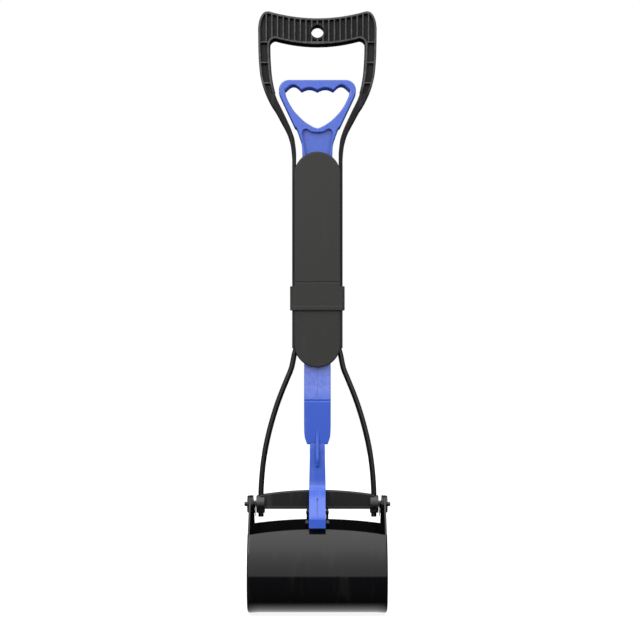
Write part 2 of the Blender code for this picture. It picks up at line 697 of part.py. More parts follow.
def grip_cells():
    """Return the outlines of the pockets between the D-grip's ribs."""
    half_rib = GRIP_RIB / 2
    rim = offset_line(grip_outline(), -GRIP_RIM)
    cells = []
    for index in range(GRIP_CELLS // 2):
        low = index * GRIP_RIB_PITCH + half_rib
        high = (index + 1) * GRIP_RIB_PITCH - half_rib
        cells.append([(low, cell_floor(low)), (low, height_at(rim, low)),
                      (high, height_at(rim, high)), (high, cell_floor(high))])
    start = GRIP_CELLS // 2 * GRIP_RIB_PITCH + half_rib
    floor = ARM_TOP_RIB_Z + half_rib
    corner = [point for point in rim if point[0] > start and point[1] > floor]
    cells.append([(start, floor), (start, height_at(rim, start))] + corner + [(across(rim, floor), floor)])
    return cells + arm_cells(ARM_TOP_RIB_Z - half_rib)


def cell_floor(x):
    """Return the lower end of the pockets between the D-grip's ribs, which rounds the opening's corner."""
    radius = GRIP_OPENING_CORNER + GRIP_RIM
    beyond = min(max(x - OPENING_CORNER_X, 0), radius)
    drop = radius - math.sqrt(radius ** 2 - beyond ** 2)
    floor = grip_underside(min(x, OPENING_CORNER_X)) + GRIP_RIM - drop
    return max(floor, ARM_TOP_RIB_Z + GRIP_RIB / 2)


def arm_cells(top):
    """Return the outlines of the pockets between an arm's cross ribs."""
    outer = arm_outer()
    inner = arm_inner()
    cells = []
    while top > ARM_CHANNEL_END_Z + GRIP_RIM:
        bottom = max(top - ARM_RIB_PITCH + GRIP_RIB, ARM_CHANNEL_END_Z)
        heights = [top + (bottom - top) * step / 4 for step in range(5)]
        cells.append([(across(outer, z) - GRIP_RIM, z) for z in heights]
                     + [(across(inner, z) + GRIP_RIM, z) for z in reversed(heights)])
        top = bottom - GRIP_RIB
    return cells


def make_upper_frame():
    """Make the D-grip, its arms and the upper half of the housing."""
    outer = grip_outline() + [(HOUSING_HALF_WIDTH, FOLD_Z + HALF_SPLIT)]
    inner = [(OPENING_CORNER_X * step / 5, grip_underside(OPENING_CORNER_X * step / 5)) for step in range(5)]
    corner_centre = (OPENING_CORNER_X, grip_underside(OPENING_CORNER_X) - GRIP_OPENING_CORNER)
    inner += arc(corner_centre, GRIP_OPENING_CORNER, 90, 0, 6)
    inner += arm_inner() + [(ARM_FOOT_INNER_X, HOUSING_TOP_Z)]
    frame = plate("upper_frame", [mirrored(outer), mirrored(inner)], -GRIP_HALF_DEPTH, GRIP_HALF_DEPTH)
    bevel(frame, HOUSING_EDGE, 1, CORNER_ANGLE)

    cells = grip_cells()
    cells += [[(-x, z) for x, z in cell] for cell in cells]
    cut(frame,
        plate("front_pockets", cells, -GRIP_HALF_DEPTH - OVERRUN, -GRIP_WEB / 2),
        plate("back_pockets", cells, GRIP_WEB / 2, GRIP_HALF_DEPTH + OVERRUN))
    join(frame, cylinder("hole_boss", (0, 0, HOLE_Z), HOLE_BOSS_RADIUS, 2 * GRIP_HALF_DEPTH, ALONG_Y,
                         LARGE_SIDES))
    cut(frame, cylinder("hanging_hole", (0, 0, HOLE_Z), HOLE_RADIUS, 2 * GRIP_HALF_DEPTH + 2 * OVERRUN,
                        ALONG_Y, LARGE_SIDES))

    channel_top = HOUSING_TOP_Z + OVERRUN
    cut(frame,
        box("channel", (-CHANNEL_HALF_WIDTH, -HOUSING_HALF_DEPTH - OVERRUN, FOLD_Z - OVERRUN),
            (CHANNEL_HALF_WIDTH, CHANNEL_BACK_Y, channel_top)),
        box("knuckle_slot", (-SLOT_HALF_WIDTH, CHANNEL_BACK_Y - OVERRUN, FOLD_Z - OVERRUN),
            (SLOT_HALF_WIDTH, HOUSING_HALF_DEPTH + OVERRUN,
             FOLD_Z + PULL_TRAVEL + ROD_WEB + LUG_CLEARANCE)))
    add_housing_fold(frame, 1)
    cut_screw_holes(frame, "upper")
    finish(frame, "upper_frame", BLACK_SATIN)


def stadium_end(centre_z, radius, side):
    """Return the right half of a round end; side is +1 at the top and -1 at the bottom."""
    start, end = (90, 0) if side > 0 else (0, -90)
    return arc((0, centre_z), radius, start, end, 16)


def make_covers():
    """Make the two front covers."""
    top = stadium_end(COVER_TOP_Z - COVER_HALF_WIDTH, COVER_HALF_WIDTH, 1)
    upper = plate("upper_cover", [mirrored(top + [(COVER_HALF_WIDTH, FOLD_Z + HALF_SPLIT)])],
                  COVER_FRONT_Y, COVER_BACK_Y)
    bottom = stadium_end(COVER_BOTTOM_Z + COVER_HALF_WIDTH, COVER_HALF_WIDTH, -1)
    lower = plate("lower_cover", [mirrored([(COVER_HALF_WIDTH, FOLD_Z - HALF_SPLIT)] + bottom)],
                  COVER_FRONT_Y, COVER_BACK_Y)
    for cover, half, body in ((upper, "upper", None), (lower, "lower", FOLD_BODY)):
        chamfer_front(cover)
        add_posts(cover, half)
        if half == "upper":
            half_groove = COVER_GROOVE_WIDTH / 2
            cut(cover, box("groove",
                           (-HOUSING_HALF_WIDTH, COVER_FRONT_Y - OVERRUN, COVER_GROOVE_Z - half_groove),
                           (HOUSING_HALF_WIDTH, COVER_FRONT_Y + COVER_GROOVE_DEPTH,
                            COVER_GROOVE_Z + half_groove)))
        finish(cover, half + "_cover", BLACK_MATTE, body)


def chamfer_front(cover):
    """Bevel a cover's front edge, but not where the two covers meet."""
    work = bmesh.new()
    work.from_mesh(cover.data)
    edges = [edge for edge in work.edges
             if all(abs(vertex.co.y - COVER_FRONT_Y) < MERGE for vertex in edge.verts)
             and not all(abs(vertex.co.z - FOLD_Z) < 2 * HALF_SPLIT for vertex in edge.verts)]
    bmesh.ops.bevel(work, geom=edges, offset=COVER_BEVEL, segments=2, profile=ROUND_PROFILE, affect="EDGES")
    work.to_mesh(cover.data)
    work.free()


# Lower housing, rods and spreader bar

def make_lower_housing():
    """Make the lower half of the housing."""
    guide_x = CHANNEL_HALF_WIDTH + GUIDE_WALL
    foot_radius = COVER_HALF_WIDTH - GUIDE_INSET
    foot_centre = COVER_BOTTOM_Z + COVER_HALF_WIDTH
    start = -math.degrees(math.acos(guide_x / foot_radius))
    foot = [(guide_x, RAIL_FOOT_Z + GUIDE_WALL)] + arc((0, foot_centre), foot_radius, start, -90, 12)
    housing = box("lower_housing", (-HOUSING_HALF_WIDTH, -HOUSING_HALF_DEPTH, RAIL_FOOT_Z),
                  (HOUSING_HALF_WIDTH, HOUSING_HALF_DEPTH, FOLD_Z - HALF_SPLIT))
    bevel(housing, HOUSING_EDGE, 1)
    foot_half_depth = HOUSING_HALF_DEPTH - EAR_INSET
    join(housing, plate("guide_foot", [mirrored(foot)], -foot_half_depth, foot_half_depth))
    slot_bottom = FOLD_Z - ROD_WEB - LUG_CLEARANCE
    cut(housing,
        box("lower_channel", (-CHANNEL_HALF_WIDTH, -HOUSING_HALF_DEPTH - OVERRUN, COVER_BOTTOM_Z - OVERRUN),
            (CHANNEL_HALF_WIDTH, CHANNEL_BACK_Y, FOLD_Z + OVERRUN)),
        box("lower_knuckle_slot", (-SLOT_HALF_WIDTH, CHANNEL_BACK_Y - OVERRUN, slot_bottom),
            (SLOT_HALF_WIDTH, HOUSING_HALF_DEPTH + OVERRUN, FOLD_Z + OVERRUN)))
    hole_top = ROD_TOP_Z + GAP
    hole_bottom = RAIL_FOOT_Z - OVERRUN
    for side in (-1, 1):
        cut(housing, cylinder("rod_hole", (side * ROD_TOP_X, 0, (hole_top + hole_bottom) / 2),
                              ROD_RADIUS + GAP, hole_top - hole_bottom, ALONG_Z))
    add_housing_fold(housing, -1)
    cut_screw_holes(housing, "lower")
    finish(housing, "lower_housing", BLACK_SATIN, FOLD_BODY)


def make_side_rods():
    """Make the two bent rods."""
    line = smooth_line(between(ROD_SHARES, ROD_TOP_X, ROD_BOTTOM_X, ROD_BOTTOM_Z, ROD_TOP_Z), 3)
    for name, side in (("side_rod_right", 1), ("side_rod_left", -1)):
        finish(tube(name, [(side * x, 0, z) for x, z in line], ROD_RADIUS, 2), name, BLACK_STEEL, FOLD_BODY)


def make_spreader_bar():
    """Make the bar between the rods with a drum and a hub at each end."""
    half_span = (DRUM_INNER_X + DRUM_OUTER_X) / 2
    top = SPREADER_BOTTOM_Z + SPREADER_HEIGHT
    arch = [(half_span * step / 8, top + SPREADER_ARCH * (1 - (step / 8) ** 2)) for step in range(9)]
    bar = plate("spreader_bar", [mirrored(arch + [(half_span, SPREADER_BOTTOM_Z)])],
                -SPREADER_HALF_DEPTH, SPREADER_HALF_DEPTH)
    for side in (-1, 1):
        drum_x = side * (DRUM_INNER_X + DRUM_OUTER_X) / 2
        hub_start = DRUM_INNER_X + ROD_RADIUS
        join(bar,
             cylinder("drum", (drum_x, 0, JAW_PIVOT_Z), DRUM_RADIUS, DRUM_OUTER_X - DRUM_INNER_X,
                      ALONG_X, LARGE_SIDES),
             cylinder("hub", (side * (hub_start + HUB_END_X) / 2, 0, JAW_PIVOT_Z), HUB_RADIUS,
                      HUB_END_X - hub_start, ALONG_X, 24))
        screw_end = HUB_END_X - PIVOT_SCREW_DEPTH - GAP
        cut(bar,
            cylinder("rod_eye", (side * ROD_BOTTOM_X, 0, JAW_PIVOT_Z), ROD_RADIUS + GAP,
                     2 * (DRUM_RADIUS + OVERRUN), ALONG_Z),
            cylinder("pivot_screw_hole", (side * (screw_end + HUB_END_X + OVERRUN) / 2, 0, JAW_PIVOT_Z),
                     PIVOT_SCREW_SHANK_RADIUS + GAP, HUB_END_X + OVERRUN - screw_end, ALONG_X))
    finish(bar, "spreader_bar", BLACK_SATIN, FOLD_BODY)


def make_pivot_hardware():
    """Make the washer and the screw outside each pair of ears."""
    washer_end = WASHER_X + WASHER_THICKNESS
    head_start = washer_end + GAP
    profile = [
        (0, PIVOT_SCREW_HEAD_LENGTH), (PIVOT_SCREW_HEAD_RADIUS, PIVOT_SCREW_HEAD_LENGTH),
        (PIVOT_SCREW_HEAD_RADIUS, 0), (PIVOT_SCREW_SHANK_RADIUS, 0),
        (PIVOT_SCREW_SHANK_RADIUS, HUB_END_X - PIVOT_SCREW_DEPTH - head_start),
        (0, HUB_END_X - PIVOT_SCREW_DEPTH - head_start),
    ]
    for side, word in ((1, "right"), (-1, "left")):
        washer = cylinder("pivot_washer_" + word, (side * (WASHER_X + washer_end) / 2, 0, JAW_PIVOT_Z),
                          WASHER_RADIUS, WASHER_THICKNESS, ALONG_X, LARGE_SIDES)
        cut(washer, cylinder("washer_hole", (side * washer_end, 0, JAW_PIVOT_Z),
                             PIVOT_SCREW_SHANK_RADIUS + GAP, 4 * WASHER_THICKNESS, ALONG_X))
        finish(washer, "pivot_washer_" + word, STEEL, FOLD_BODY)
        name = "pivot_screw_" + word
        outward = Euler((0, side * math.pi / 2, 0))
        screw = turned(name, profile, (side * head_start, 0, JAW_PIVOT_Z), outward, 16)
        finish(screw, name, STEEL, FOLD_BODY)


def spring_path(side):
    """Return the wire of a torsion spring: a leg, the coil around the hub and the other leg."""
    mean_radius = HUB_RADIUS + GAP + SPRING_WIRE_RADIUS + GAP
    start = math.pi - SPRING_SPLAY
    end = SPRING_SPLAY - 2 * math.pi
    steps = round((start - end) / (2 * math.pi) * SPRING_TURN_POINTS)
    width = SPRING_PITCH * (start - end) / (2 * math.pi)
    first_x = DRUM_OUTER_X + (SPRING_ROOM - width) / 2
    points = []
    for step in range(steps + 1):
        angle = start + (end - start) * step / steps
        points.append((side * (first_x + width * step / steps), mean_radius * math.cos(angle),
                       JAW_PIVOT_Z + mean_radius * math.sin(angle)))
    reach_y = SPRING_LEG * math.sin(SPRING_SPLAY)
    reach_z = SPRING_LEG * math.cos(SPRING_SPLAY)
    first, last = points[0], points[-1]
    return ([(first[0], first[1] - reach_y, first[2] - reach_z)] + points
            + [(last[0], last[1] + reach_y, last[2] - reach_z)])


def make_torsion_springs():
    """Make the two springs that close the jaws, and print their coils' least gap."""
    turn_gap = SPRING_PITCH - 2 * SPRING_WIRE_RADIUS
    print("torsion spring, gap between turns in mm:", round(turn_gap * 1000, 3))
    for side, word in ((1, "right"), (-1, "left")):
        name = "torsion_spring_" + word
        finish(tube(name, spring_path(side), SPRING_WIRE_RADIUS, 1), name, STEEL, FOLD_BODY)


# Lock band

def rounded_rectangle(low, high, radius, steps=4):
    """Return a rectangle with round corners, counterclockwise."""
    corners = ((high[0] - radius, high[1] - radius, 0), (low[0] + radius, high[1] - radius, 90),
               (low[0] + radius, low[1] + radius, 180), (high[0] - radius, low[1] + radius, 270))
    return [point for x, y, start in corners for point in arc((x, y), radius, start, start + 90, steps)]


def make_lock_band():
    """Make the sleeve that locks the fold."""
    inner_x = HOUSING_HALF_WIDTH + GAP
    front_y = COVER_FRONT_Y - GAP
    pad_y = HOUSING_HALF_DEPTH + BAND_BACK_CLEARANCE
    pocket_x = KNUCKLE_OUTER_X + KNUCKLE_WIDTH + BAND_POCKET_CLEARANCE
    pocket_y = FOLD_Y + KNUCKLE_RADIUS + BAND_POCKET_CLEARANCE
    inner = [(-inner_x, front_y), (inner_x, front_y), (inner_x, pad_y), (pocket_x, pad_y),
             (pocket_x, pocket_y), (-pocket_x, pocket_y), (-pocket_x, pad_y), (-inner_x, pad_y)]
    outer = rounded_rectangle((-inner_x - BAND_WALL, front_y - BAND_WALL),
                              (inner_x + BAND_WALL, pocket_y + BAND_WALL), BAND_CORNER)
    band = plate("lock_band", [outer, inner], BAND_BOTTOM_Z, BAND_BOTTOM_Z + BAND_HEIGHT, TOP_VIEW)
    bevel(band, BAND_EDGE, 1, CORNER_ANGLE)
    finish(band, "lock_band", BLACK_MATTE, BAND_BODY)


# Blue handle and rod

def handle_hole():
    """Return the right half of the finger opening, from its top down."""
    half = []
    steps = 24
    for step in range(steps + 1):
        x = HANDLE_HOLE_HALF_WIDTH * step / steps
        rise = abs(math.sin(math.pi * x / SCALLOP_PITCH))
        depth = SCALLOP_INNER_DEPTH if x < SCALLOP_PITCH else SCALLOP_DEPTH
        half.append((x, HANDLE_HOLE_TOP_Z - SCALLOP_DEPTH + depth * rise))
    side = between(HANDLE_HOLE_SHARES, 0, HANDLE_HOLE_HALF_WIDTH, HANDLE_HOLE_BOTTOM_Z, HANDLE_HOLE_TOP_Z)
    return half + smooth_line(side, 4)[1:]


def make_pull_handle():
    """Make the blue handle and the bar that runs from it to the fold."""
    corner_centre = (HANDLE_HALF_WIDTH - HANDLE_CORNER, HANDLE_TOP_Z - HANDLE_CORNER)
    side = between(HANDLE_SIDE_SHARES, HANDLE_FOOT_HALF_WIDTH, HANDLE_HALF_WIDTH,
                   HANDLE_FOOT_Z, HANDLE_TOP_Z)
    half = [(0, HANDLE_TOP_Z)] + arc(corner_centre, HANDLE_CORNER, 90, 0, 8) + smooth_line(side, 3)
    handle = plate("pull_handle", [mirrored(half), mirrored(handle_hole())],
                   -HANDLE_HALF_DEPTH, HANDLE_HALF_DEPTH)
    bevel(handle, HOUSING_EDGE, 1, CORNER_ANGLE)
    pocket = mirrored(smooth_line(between(HANDLE_POCKET_SHARES, 0, HANDLE_POCKET_HALF_WIDTH,
                                          COVER_TOP_Z, HANDLE_POCKET_TOP_Z), 2))
    floor = HANDLE_HALF_DEPTH - HANDLE_POCKET_DEPTH
    cut(handle,
        plate("front_pocket", [pocket], -HANDLE_HALF_DEPTH - OVERRUN, -floor),
        plate("back_pocket", [pocket], floor, HANDLE_HALF_DEPTH + OVERRUN))
    join(handle,
         box("bar", (-BAR_HALF_WIDTH, -BAR_HALF_DEPTH, FOLD_Z + HALF_SPLIT),
             (BAR_HALF_WIDTH, BAR_HALF_DEPTH, HANDLE_FOOT_Z + GRIP_RIM)))
    for low, high in both_sides(ROD_TONGUE_HALF + GAP, ROD_KNUCKLE_HALF):
        cut(handle, fold_cylinder("fork_room", low - GAP, high + GAP, KNUCKLE_RADIUS + GAP))
    join(handle, knuckle("tongue", -ROD_TONGUE_HALF, ROD_TONGUE_HALF, 1, ROD_WEB,
                         BAR_HALF_DEPTH - HOUSING_BACK_WALL, BAR_HALF_DEPTH))
    cut(handle, fold_cylinder("rod_pin_hole", -SLOT_HALF_WIDTH, SLOT_HALF_WIDTH, FOLD_PIN_RADIUS + RUNNING))
    finish(handle, "pull_handle", BLUE, PULL_BODY)
    finish(fold_cylinder("rod_fold_pin", -ROD_KNUCKLE_HALF, ROD_KNUCKLE_HALF, FOLD_PIN_RADIUS),
           "rod_fold_pin", STEEL, PULL_BODY)


def make_pull_rod():
    """Make the forked rod: its side view cut to the shape of its front view."""
    eye_top = STRAP_PIN_Z + EYE_HALF_HEIGHT
    eye_bottom = STRAP_PIN_Z - EYE_HALF_HEIGHT
    leg = smooth_line(between(LEG_SHARES, 0, EYE_MIDDLE_Y, eye_top, FORK_NECK_Z), 3)
    outer = [point for point in offset_line(leg, FORK_THICKNESS / 2)
             if eye_top < point[1] < FORK_NECK_Z - FORK_THICKNESS]
    inner = [point for point in offset_line(leg, -FORK_THICKNESS / 2)
             if eye_top < point[1] < FORK_CROTCH_Z - FORK_THICKNESS]
    leg_outline = [(FORK_NECK_HALF_DEPTH, FORK_NECK_Z)] + outer
    leg_outline += [(EYE_OUTER_Y, eye_top), (EYE_OUTER_Y, eye_bottom),
                    (EYE_INNER_Y, eye_bottom), (EYE_INNER_Y, eye_top)]
    leg_outline += inner[::-1]
    top = FOLD_Z - HALF_SPLIT
    back = [(BAR_HALF_DEPTH, top), (BAR_HALF_DEPTH, FORK_SLOPE_Z)] + leg_outline
    front = [(ROD_FRONT_DEPTH, top), (ROD_FRONT_DEPTH, COVER_BOTTOM_Z), (ROD_RIDGE_DEPTH, FORK_SLOPE_Z)]
    front += leg_outline
    outline = back + [(0, FORK_CROTCH_Z)] + [(-y, z) for y, z in reversed(front)]
    rod = plate("pull_rod", [outline], -BAR_HALF_WIDTH, BAR_HALF_WIDTH, SIDE_VIEW)

    width = [(0, FOLD_Z + OVERRUN), (BAR_HALF_WIDTH - RUNNING, FOLD_Z + OVERRUN)]
    width += smooth_line(between(FORK_TAPER_SHARES, FORK_SHOULDER_HALF, BAR_HALF_WIDTH - RUNNING,
                                 FORK_SHOULDER_Z, FORK_TAPER_Z), 3)
    width += [(STRAP_TOP_HALF, FORK_SHOULDER_Z - FORK_THICKNESS / 2), (STRAP_HALF_WIDTH, STRAP_WIDE_Z),
              (STRAP_HALF_WIDTH, eye_bottom - OVERRUN)]
    reach = EYE_OUTER_Y + OVERRUN
    change(rod, [plate("rod_front_view", [mirrored(width)], -reach, reach)], "INTERSECT")
    fin = mirrored(between(FIN_SHARES, 0, FIN_REACH, FIN_FOOT_Z, FIN_TOP_Z))
    join(rod, plate("fin", [fin], -FIN_HALF_WIDTH, FIN_HALF_WIDTH, SIDE_VIEW))
    for side in (-1, 1):
        slot = arc((side * SLOT_OUTER_Y, STRAP_PIN_Z), SLOT_RADIUS, -90 * side, 180 - 90 * side, 8)
        slot += arc((side * SLOT_INNER_Y, STRAP_PIN_Z), SLOT_RADIUS, 90 * side, 180 + 90 * side, 8)
        cut(rod, plate("eye_slot", [slot], -STRAP_HALF_WIDTH - OVERRUN,
                       STRAP_HALF_WIDTH + OVERRUN, SIDE_VIEW))
    cut(rod, fold_cylinder("tongue_room", -ROD_TONGUE_HALF - GAP, ROD_TONGUE_HALF + GAP,
                           KNUCKLE_RADIUS + GAP))
    for low, high in both_sides(ROD_TONGUE_HALF + GAP, ROD_KNUCKLE_HALF):
        join(rod, knuckle("fork_knuckle", low, high, -1, ROD_WEB,
                          BAR_HALF_DEPTH - HOUSING_BACK_WALL, BAR_HALF_DEPTH))
    cut(rod, fold_cylinder("rod_pin_bore", -SLOT_HALF_WIDTH, SLOT_HALF_WIDTH, FOLD_PIN_RADIUS + RUNNING))
    finish(rod, "pull_rod", BLUE, ROD_BODY)


# Jaws

def jaw_form(name, half_width, inset, side):
    """Make a jaw's form as a solid, drawn in by an inset; it runs on past the rim and past the lips."""
    profile = smooth_line([(JAW_DEPTH * a, JAW_RIM_Z * b) for a, b in JAW_PROFILE_SHARES], 3)
    top, below = profile[0], profile[1]
    rise = 2 * JAW_CORNER + OVERRUN + inset
    past_rim = (top[0] + (top[0] - below[0]) * rise / (top[1] - below[1]), top[1] + rise)
    line = offset_line([past_rim] + profile + [(-rise, profile[-1][1])], -inset)
    loop = [(-rise, past_rim[1])] + line
    form = plate(name, [[(side * y, z) for y, z in loop]], inset - half_width, half_width - inset,
                 SIDE_VIEW)
    bevel(form, JAW_CORNER - inset, 4, CORNER_ANGLE, clamp=False)
    return form


def ear_outline(side):
    """Return an ear: a disc about the pivot that runs down into the side wall."""
    to_root = math.atan2(EAR_ROOT_HEIGHT - JAW_PIVOT_Z, EAR_ROOT_Y)
    distance = math.hypot(EAR_ROOT_Y, EAR_ROOT_HEIGHT - JAW_PIVOT_Z)
    tangent = math.degrees(to_root + math.acos(EAR_RADIUS / distance))
    outline = [(GAP + EAR_INSET, EAR_FOOT_HEIGHT), (EAR_ROOT_Y, EAR_FOOT_HEIGHT),
               (EAR_ROOT_Y, EAR_ROOT_HEIGHT)]
    outline += arc((0, JAW_PIVOT_Z), EAR_RADIUS, tangent, 250, 18)
    return [(side * y, z) for y, z in outline]


def make_jaw(name, word, half_width, side, body):
    """Make a jaw with its ears, its two lugs and its strap pin."""
    jaw = jaw_form(name, half_width, 0, side)
    cut(jaw, jaw_form(word + "_jaw_inside", half_width, JAW_WALL, side))
    beyond = half_width + OVERRUN
    stations = [beyond * step / 6 for step in range(-6, 7)]
    above = [(x, JAW_RIM_Z - JAW_RIM_ARCH * (x / half_width) ** 2) for x in stations]
    above += [(beyond, JAW_PIVOT_Z), (-beyond, JAW_PIVOT_Z)]
    deep = JAW_DEPTH + OVERRUN
    lips = sorted((side * GAP, -side * deep))
    cut(jaw,
        box("lip_plane", (-beyond, lips[0], -OVERRUN), (beyond, lips[1], JAW_PIVOT_Z + OVERRUN)),
        plate("rim_arch", [above], -deep, deep))
    for low, high in both_sides(half_width - JAW_WALL + EAR_INSET, half_width - EAR_INSET):
        join(jaw, plate("ear", [ear_outline(side)], low, high, SIDE_VIEW))
    lug = arc((STRAP_PIN_Y, STRAP_PIN_Z), LUG_RADIUS, -60, 200, 14)
    lug += [(STRAP_PIN_Y + a * LUG_RADIUS, STRAP_PIN_Z - b * LUG_DROP) for a, b in LUG_SHARES]
    for low, high in both_sides(LUG_INNER_X, LUG_OUTER_X):
        join(jaw, plate("lug", [[(side * y, z) for y, z in lug]], low, high, SIDE_VIEW))
    cut(jaw,
        cylinder("ear_bore", (0, 0, JAW_PIVOT_Z), HUB_RADIUS + RUNNING, 2 * beyond, ALONG_X, 24),
        cylinder("lug_bore", (0, side * STRAP_PIN_Y, STRAP_PIN_Z), STRAP_PIN_RADIUS + RUNNING,
                 2 * (LUG_OUTER_X + OVERRUN), ALONG_X, 24))
    for modifier in jaw.modifiers:
        if modifier.type == "BOOLEAN":
            modifier.use_hole_tolerant = True
    finish(jaw, name, BLACK_GLOSS, body)
    pin = cylinder(word + "_strap_pin", (0, side * STRAP_PIN_Y, STRAP_PIN_Z), STRAP_PIN_RADIUS,
                   2 * (LUG_OUTER_X + STRAP_PIN_END), ALONG_X, 24)
    finish(pin, word + "_strap_pin", STEEL, body)


def hide_cutters():
    """Leave the cutters out of renders."""
    for tool in CUTTERS.objects:
        tool.hide_render = True
        tool.display_type = "WIRE"


make_upper_frame()
make_covers()
make_screws("upper", None)
make_screws("lower", FOLD_BODY)
make_fold_pins()
make_lower_housing()
make_side_rods()
make_spreader_bar()
make_pivot_hardware()
make_torsion_springs()
make_lock_band()
make_pull_handle()
make_pull_rod()
make_jaw("front_jaw", "front", JAW_HALF_WIDTH, -1, FRONT_JAW_BODY)
make_jaw("rear_jaw", "rear", REAR_HALF_WIDTH, 1, REAR_JAW_BODY)
hide_cutters()
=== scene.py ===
"""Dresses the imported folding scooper: rounded mouldings, glossy jaws, bent rods and hardware on a pale stage.

Lengths are metres. +Z is up, the front faces -Y and +X is to the right of someone who looks at the front.
"""
import math

import bmesh
import bpy
from bpy.props import FloatProperty, FloatVectorProperty, PointerProperty
from mathutils import Euler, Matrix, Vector


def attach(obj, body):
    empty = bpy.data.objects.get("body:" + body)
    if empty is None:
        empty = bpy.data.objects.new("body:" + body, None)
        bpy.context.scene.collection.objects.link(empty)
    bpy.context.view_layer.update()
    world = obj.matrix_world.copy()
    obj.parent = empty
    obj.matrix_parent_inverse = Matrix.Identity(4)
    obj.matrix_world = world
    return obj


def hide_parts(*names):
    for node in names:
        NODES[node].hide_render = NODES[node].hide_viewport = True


bl_info = {
    "name": "Folding scooper",
    "version": (1, 0, 0),
    "blender": (4, 5, 0),
    "location": "View3D > Sidebar > Scooper",
    "description": "Builds the scooper's mouldings, jaws, rods, hardware and stage around its packed frame",
    "category": "Object",
}

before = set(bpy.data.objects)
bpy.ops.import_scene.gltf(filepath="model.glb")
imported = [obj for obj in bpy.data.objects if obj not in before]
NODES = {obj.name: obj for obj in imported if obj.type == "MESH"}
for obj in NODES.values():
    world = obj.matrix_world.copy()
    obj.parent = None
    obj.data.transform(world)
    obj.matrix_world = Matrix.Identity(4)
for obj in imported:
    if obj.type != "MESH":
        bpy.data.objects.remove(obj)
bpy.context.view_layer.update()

# Fits
GAP = 0.0003
RUNNING = 0.00015
OVERRUN = 0.003
MERGE = 0.00001
MITRE_LEAST = 0.5

# Centre line
JAW_PIVOT_Z = 0.104
COVER_BOTTOM_Z = 0.2408
FOLD_Z = 0.3025
COVER_TOP_Z = 0.4552

# Housing, covers and fold
HOUSING_HALF_WIDTH = 0.0251
HOUSING_HALF_DEPTH = 0.0085
HOUSING_BACK_WALL = 0.0020
CHANNEL_HALF_WIDTH = 0.0160
GUIDE_WALL = 0.0026
RAIL_FOOT_Z = 0.2600
COVER_HALF_WIDTH = 0.0230
COVER_THICKNESS = 0.0022
HOUSING_TOP_Z = 0.4405
COVER_GROOVE_Z = 0.3255
COVER_GROOVE_WIDTH = 0.0020
GUIDE_INSET = 0.0010
KNUCKLE_RADIUS = 0.0030
KNUCKLE_WIDTH = 0.0025
KNUCKLE_INNER_X = 0.0150
KNUCKLE_WEB = 0.0060
KNUCKLE_START_DEGREES = 10
FOLD_PIN_RADIUS = 0.0015
SCREW_X = 0.0206
SCREW_HEAD_RADIUS = 0.0028
SCREW_HEAD_HEIGHT = 0.0016
SCREW_SHANK_RADIUS = 0.0013
SCREW_TIP_COVER = 0.0020
POST_RADIUS = 0.0027
POST_LENGTH = 0.0060
UPPER_SCREW_SHARES = (0.28, 0.88)
LOWER_SCREW_BELOW = 0.0150

# D-grip
GRIP_HALF_WIDTH = 0.0590
GRIP_HALF_DEPTH = 0.0085
GRIP_TOP_Z = 0.5950
GRIP_DIP = 0.0070
GRIP_CORNER_X = 0.0486
GRIP_UNDERSIDE_Z = 0.5620
GRIP_UNDERSIDE_BOW = 0.0050
GRIP_UNDERSIDE_X = 0.0390
GRIP_OPENING_CORNER = 0.0060
GRIP_RIM = 0.0022
GRIP_WEB = 0.0075
GRIP_RIB = 0.0014
GRIP_RIB_PITCH = 0.00565
GRIP_CELLS = 18
GRIP_PROUD = 0.0006
ARM_SHOULDER_Z = 0.5780
ARM_FOOT_Z = 0.4500
ARM_INNER_HALF_WIDTH = 0.0476
ARM_FOOT_INNER_X = 0.0213
ARM_CHANNEL_END_Z = 0.5130
ARM_TOP_RIB_Z = 0.5642
ARM_RIB_PITCH = 0.0203
HOLE_Z = 0.5750
HOLE_RADIUS = 0.0063
HOLE_BOSS_RADIUS = 0.0086

# Lock band
BAND_BELOW_FOLD = 0.0050
BAND_HEIGHT = 0.0240
BAND_WALL = 0.0017
BAND_BACK_CLEARANCE = 0.0009
BAND_POCKET_CLEARANCE = 0.0004
BAND_CORNER = 0.0025
BAND_LIP_HEIGHT = 0.0042
BAND_STEP_SHARE = 0.9

# Blue pull handle and rod
HANDLE_HALF_WIDTH = 0.0383
HANDLE_HALF_DEPTH = 0.0083
HANDLE_TOP_Z = 0.5268
HANDLE_FOOT_HALF_WIDTH = 0.0150
HANDLE_CORNER = 0.0100
HANDLE_HOLE_TOP_Z = 0.5217
HANDLE_HOLE_BOTTOM_Z = 0.4787
HANDLE_HOLE_HALF_WIDTH = 0.0321
SCALLOP_PITCH = 0.0158
SCALLOP_DEPTH = 0.0054
SCALLOP_INNER_DEPTH = 0.0026
HANDLE_POCKET_DEPTH = 0.0045
HANDLE_POCKET_TOP_Z = 0.4780
HANDLE_POCKET_HALF_WIDTH = 0.0150
BAR_HALF_WIDTH = 0.0134
BAR_HALF_DEPTH = 0.0060
ROD_FRONT_DEPTH = 0.0040
ROD_RIDGE_DEPTH = 0.0090
ROD_KNUCKLE_HALF = 0.0080
ROD_TONGUE_HALF = 0.0038
ROD_WEB = 0.0080
FORK_THICKNESS = 0.0032
FORK_SLOPE_Z = 0.2055
FORK_CROTCH_Z = 0.1580
FORK_NECK_HALF_DEPTH = 0.0080
FORK_NECK_Z = 0.1660
FORK_SHOULDER_HALF = 0.0100
FORK_SHOULDER_Z = 0.1640
FORK_TAPER_Z = 0.1860
STRAP_TOP_HALF = 0.0074
STRAP_HALF_WIDTH = 0.0082
STRAP_WIDE_Z = 0.1240
FIN_HALF_WIDTH = 0.00175
FIN_TOP_Z = 0.1860
FIN_FOOT_Z = 0.1405
FIN_REACH = 0.0130
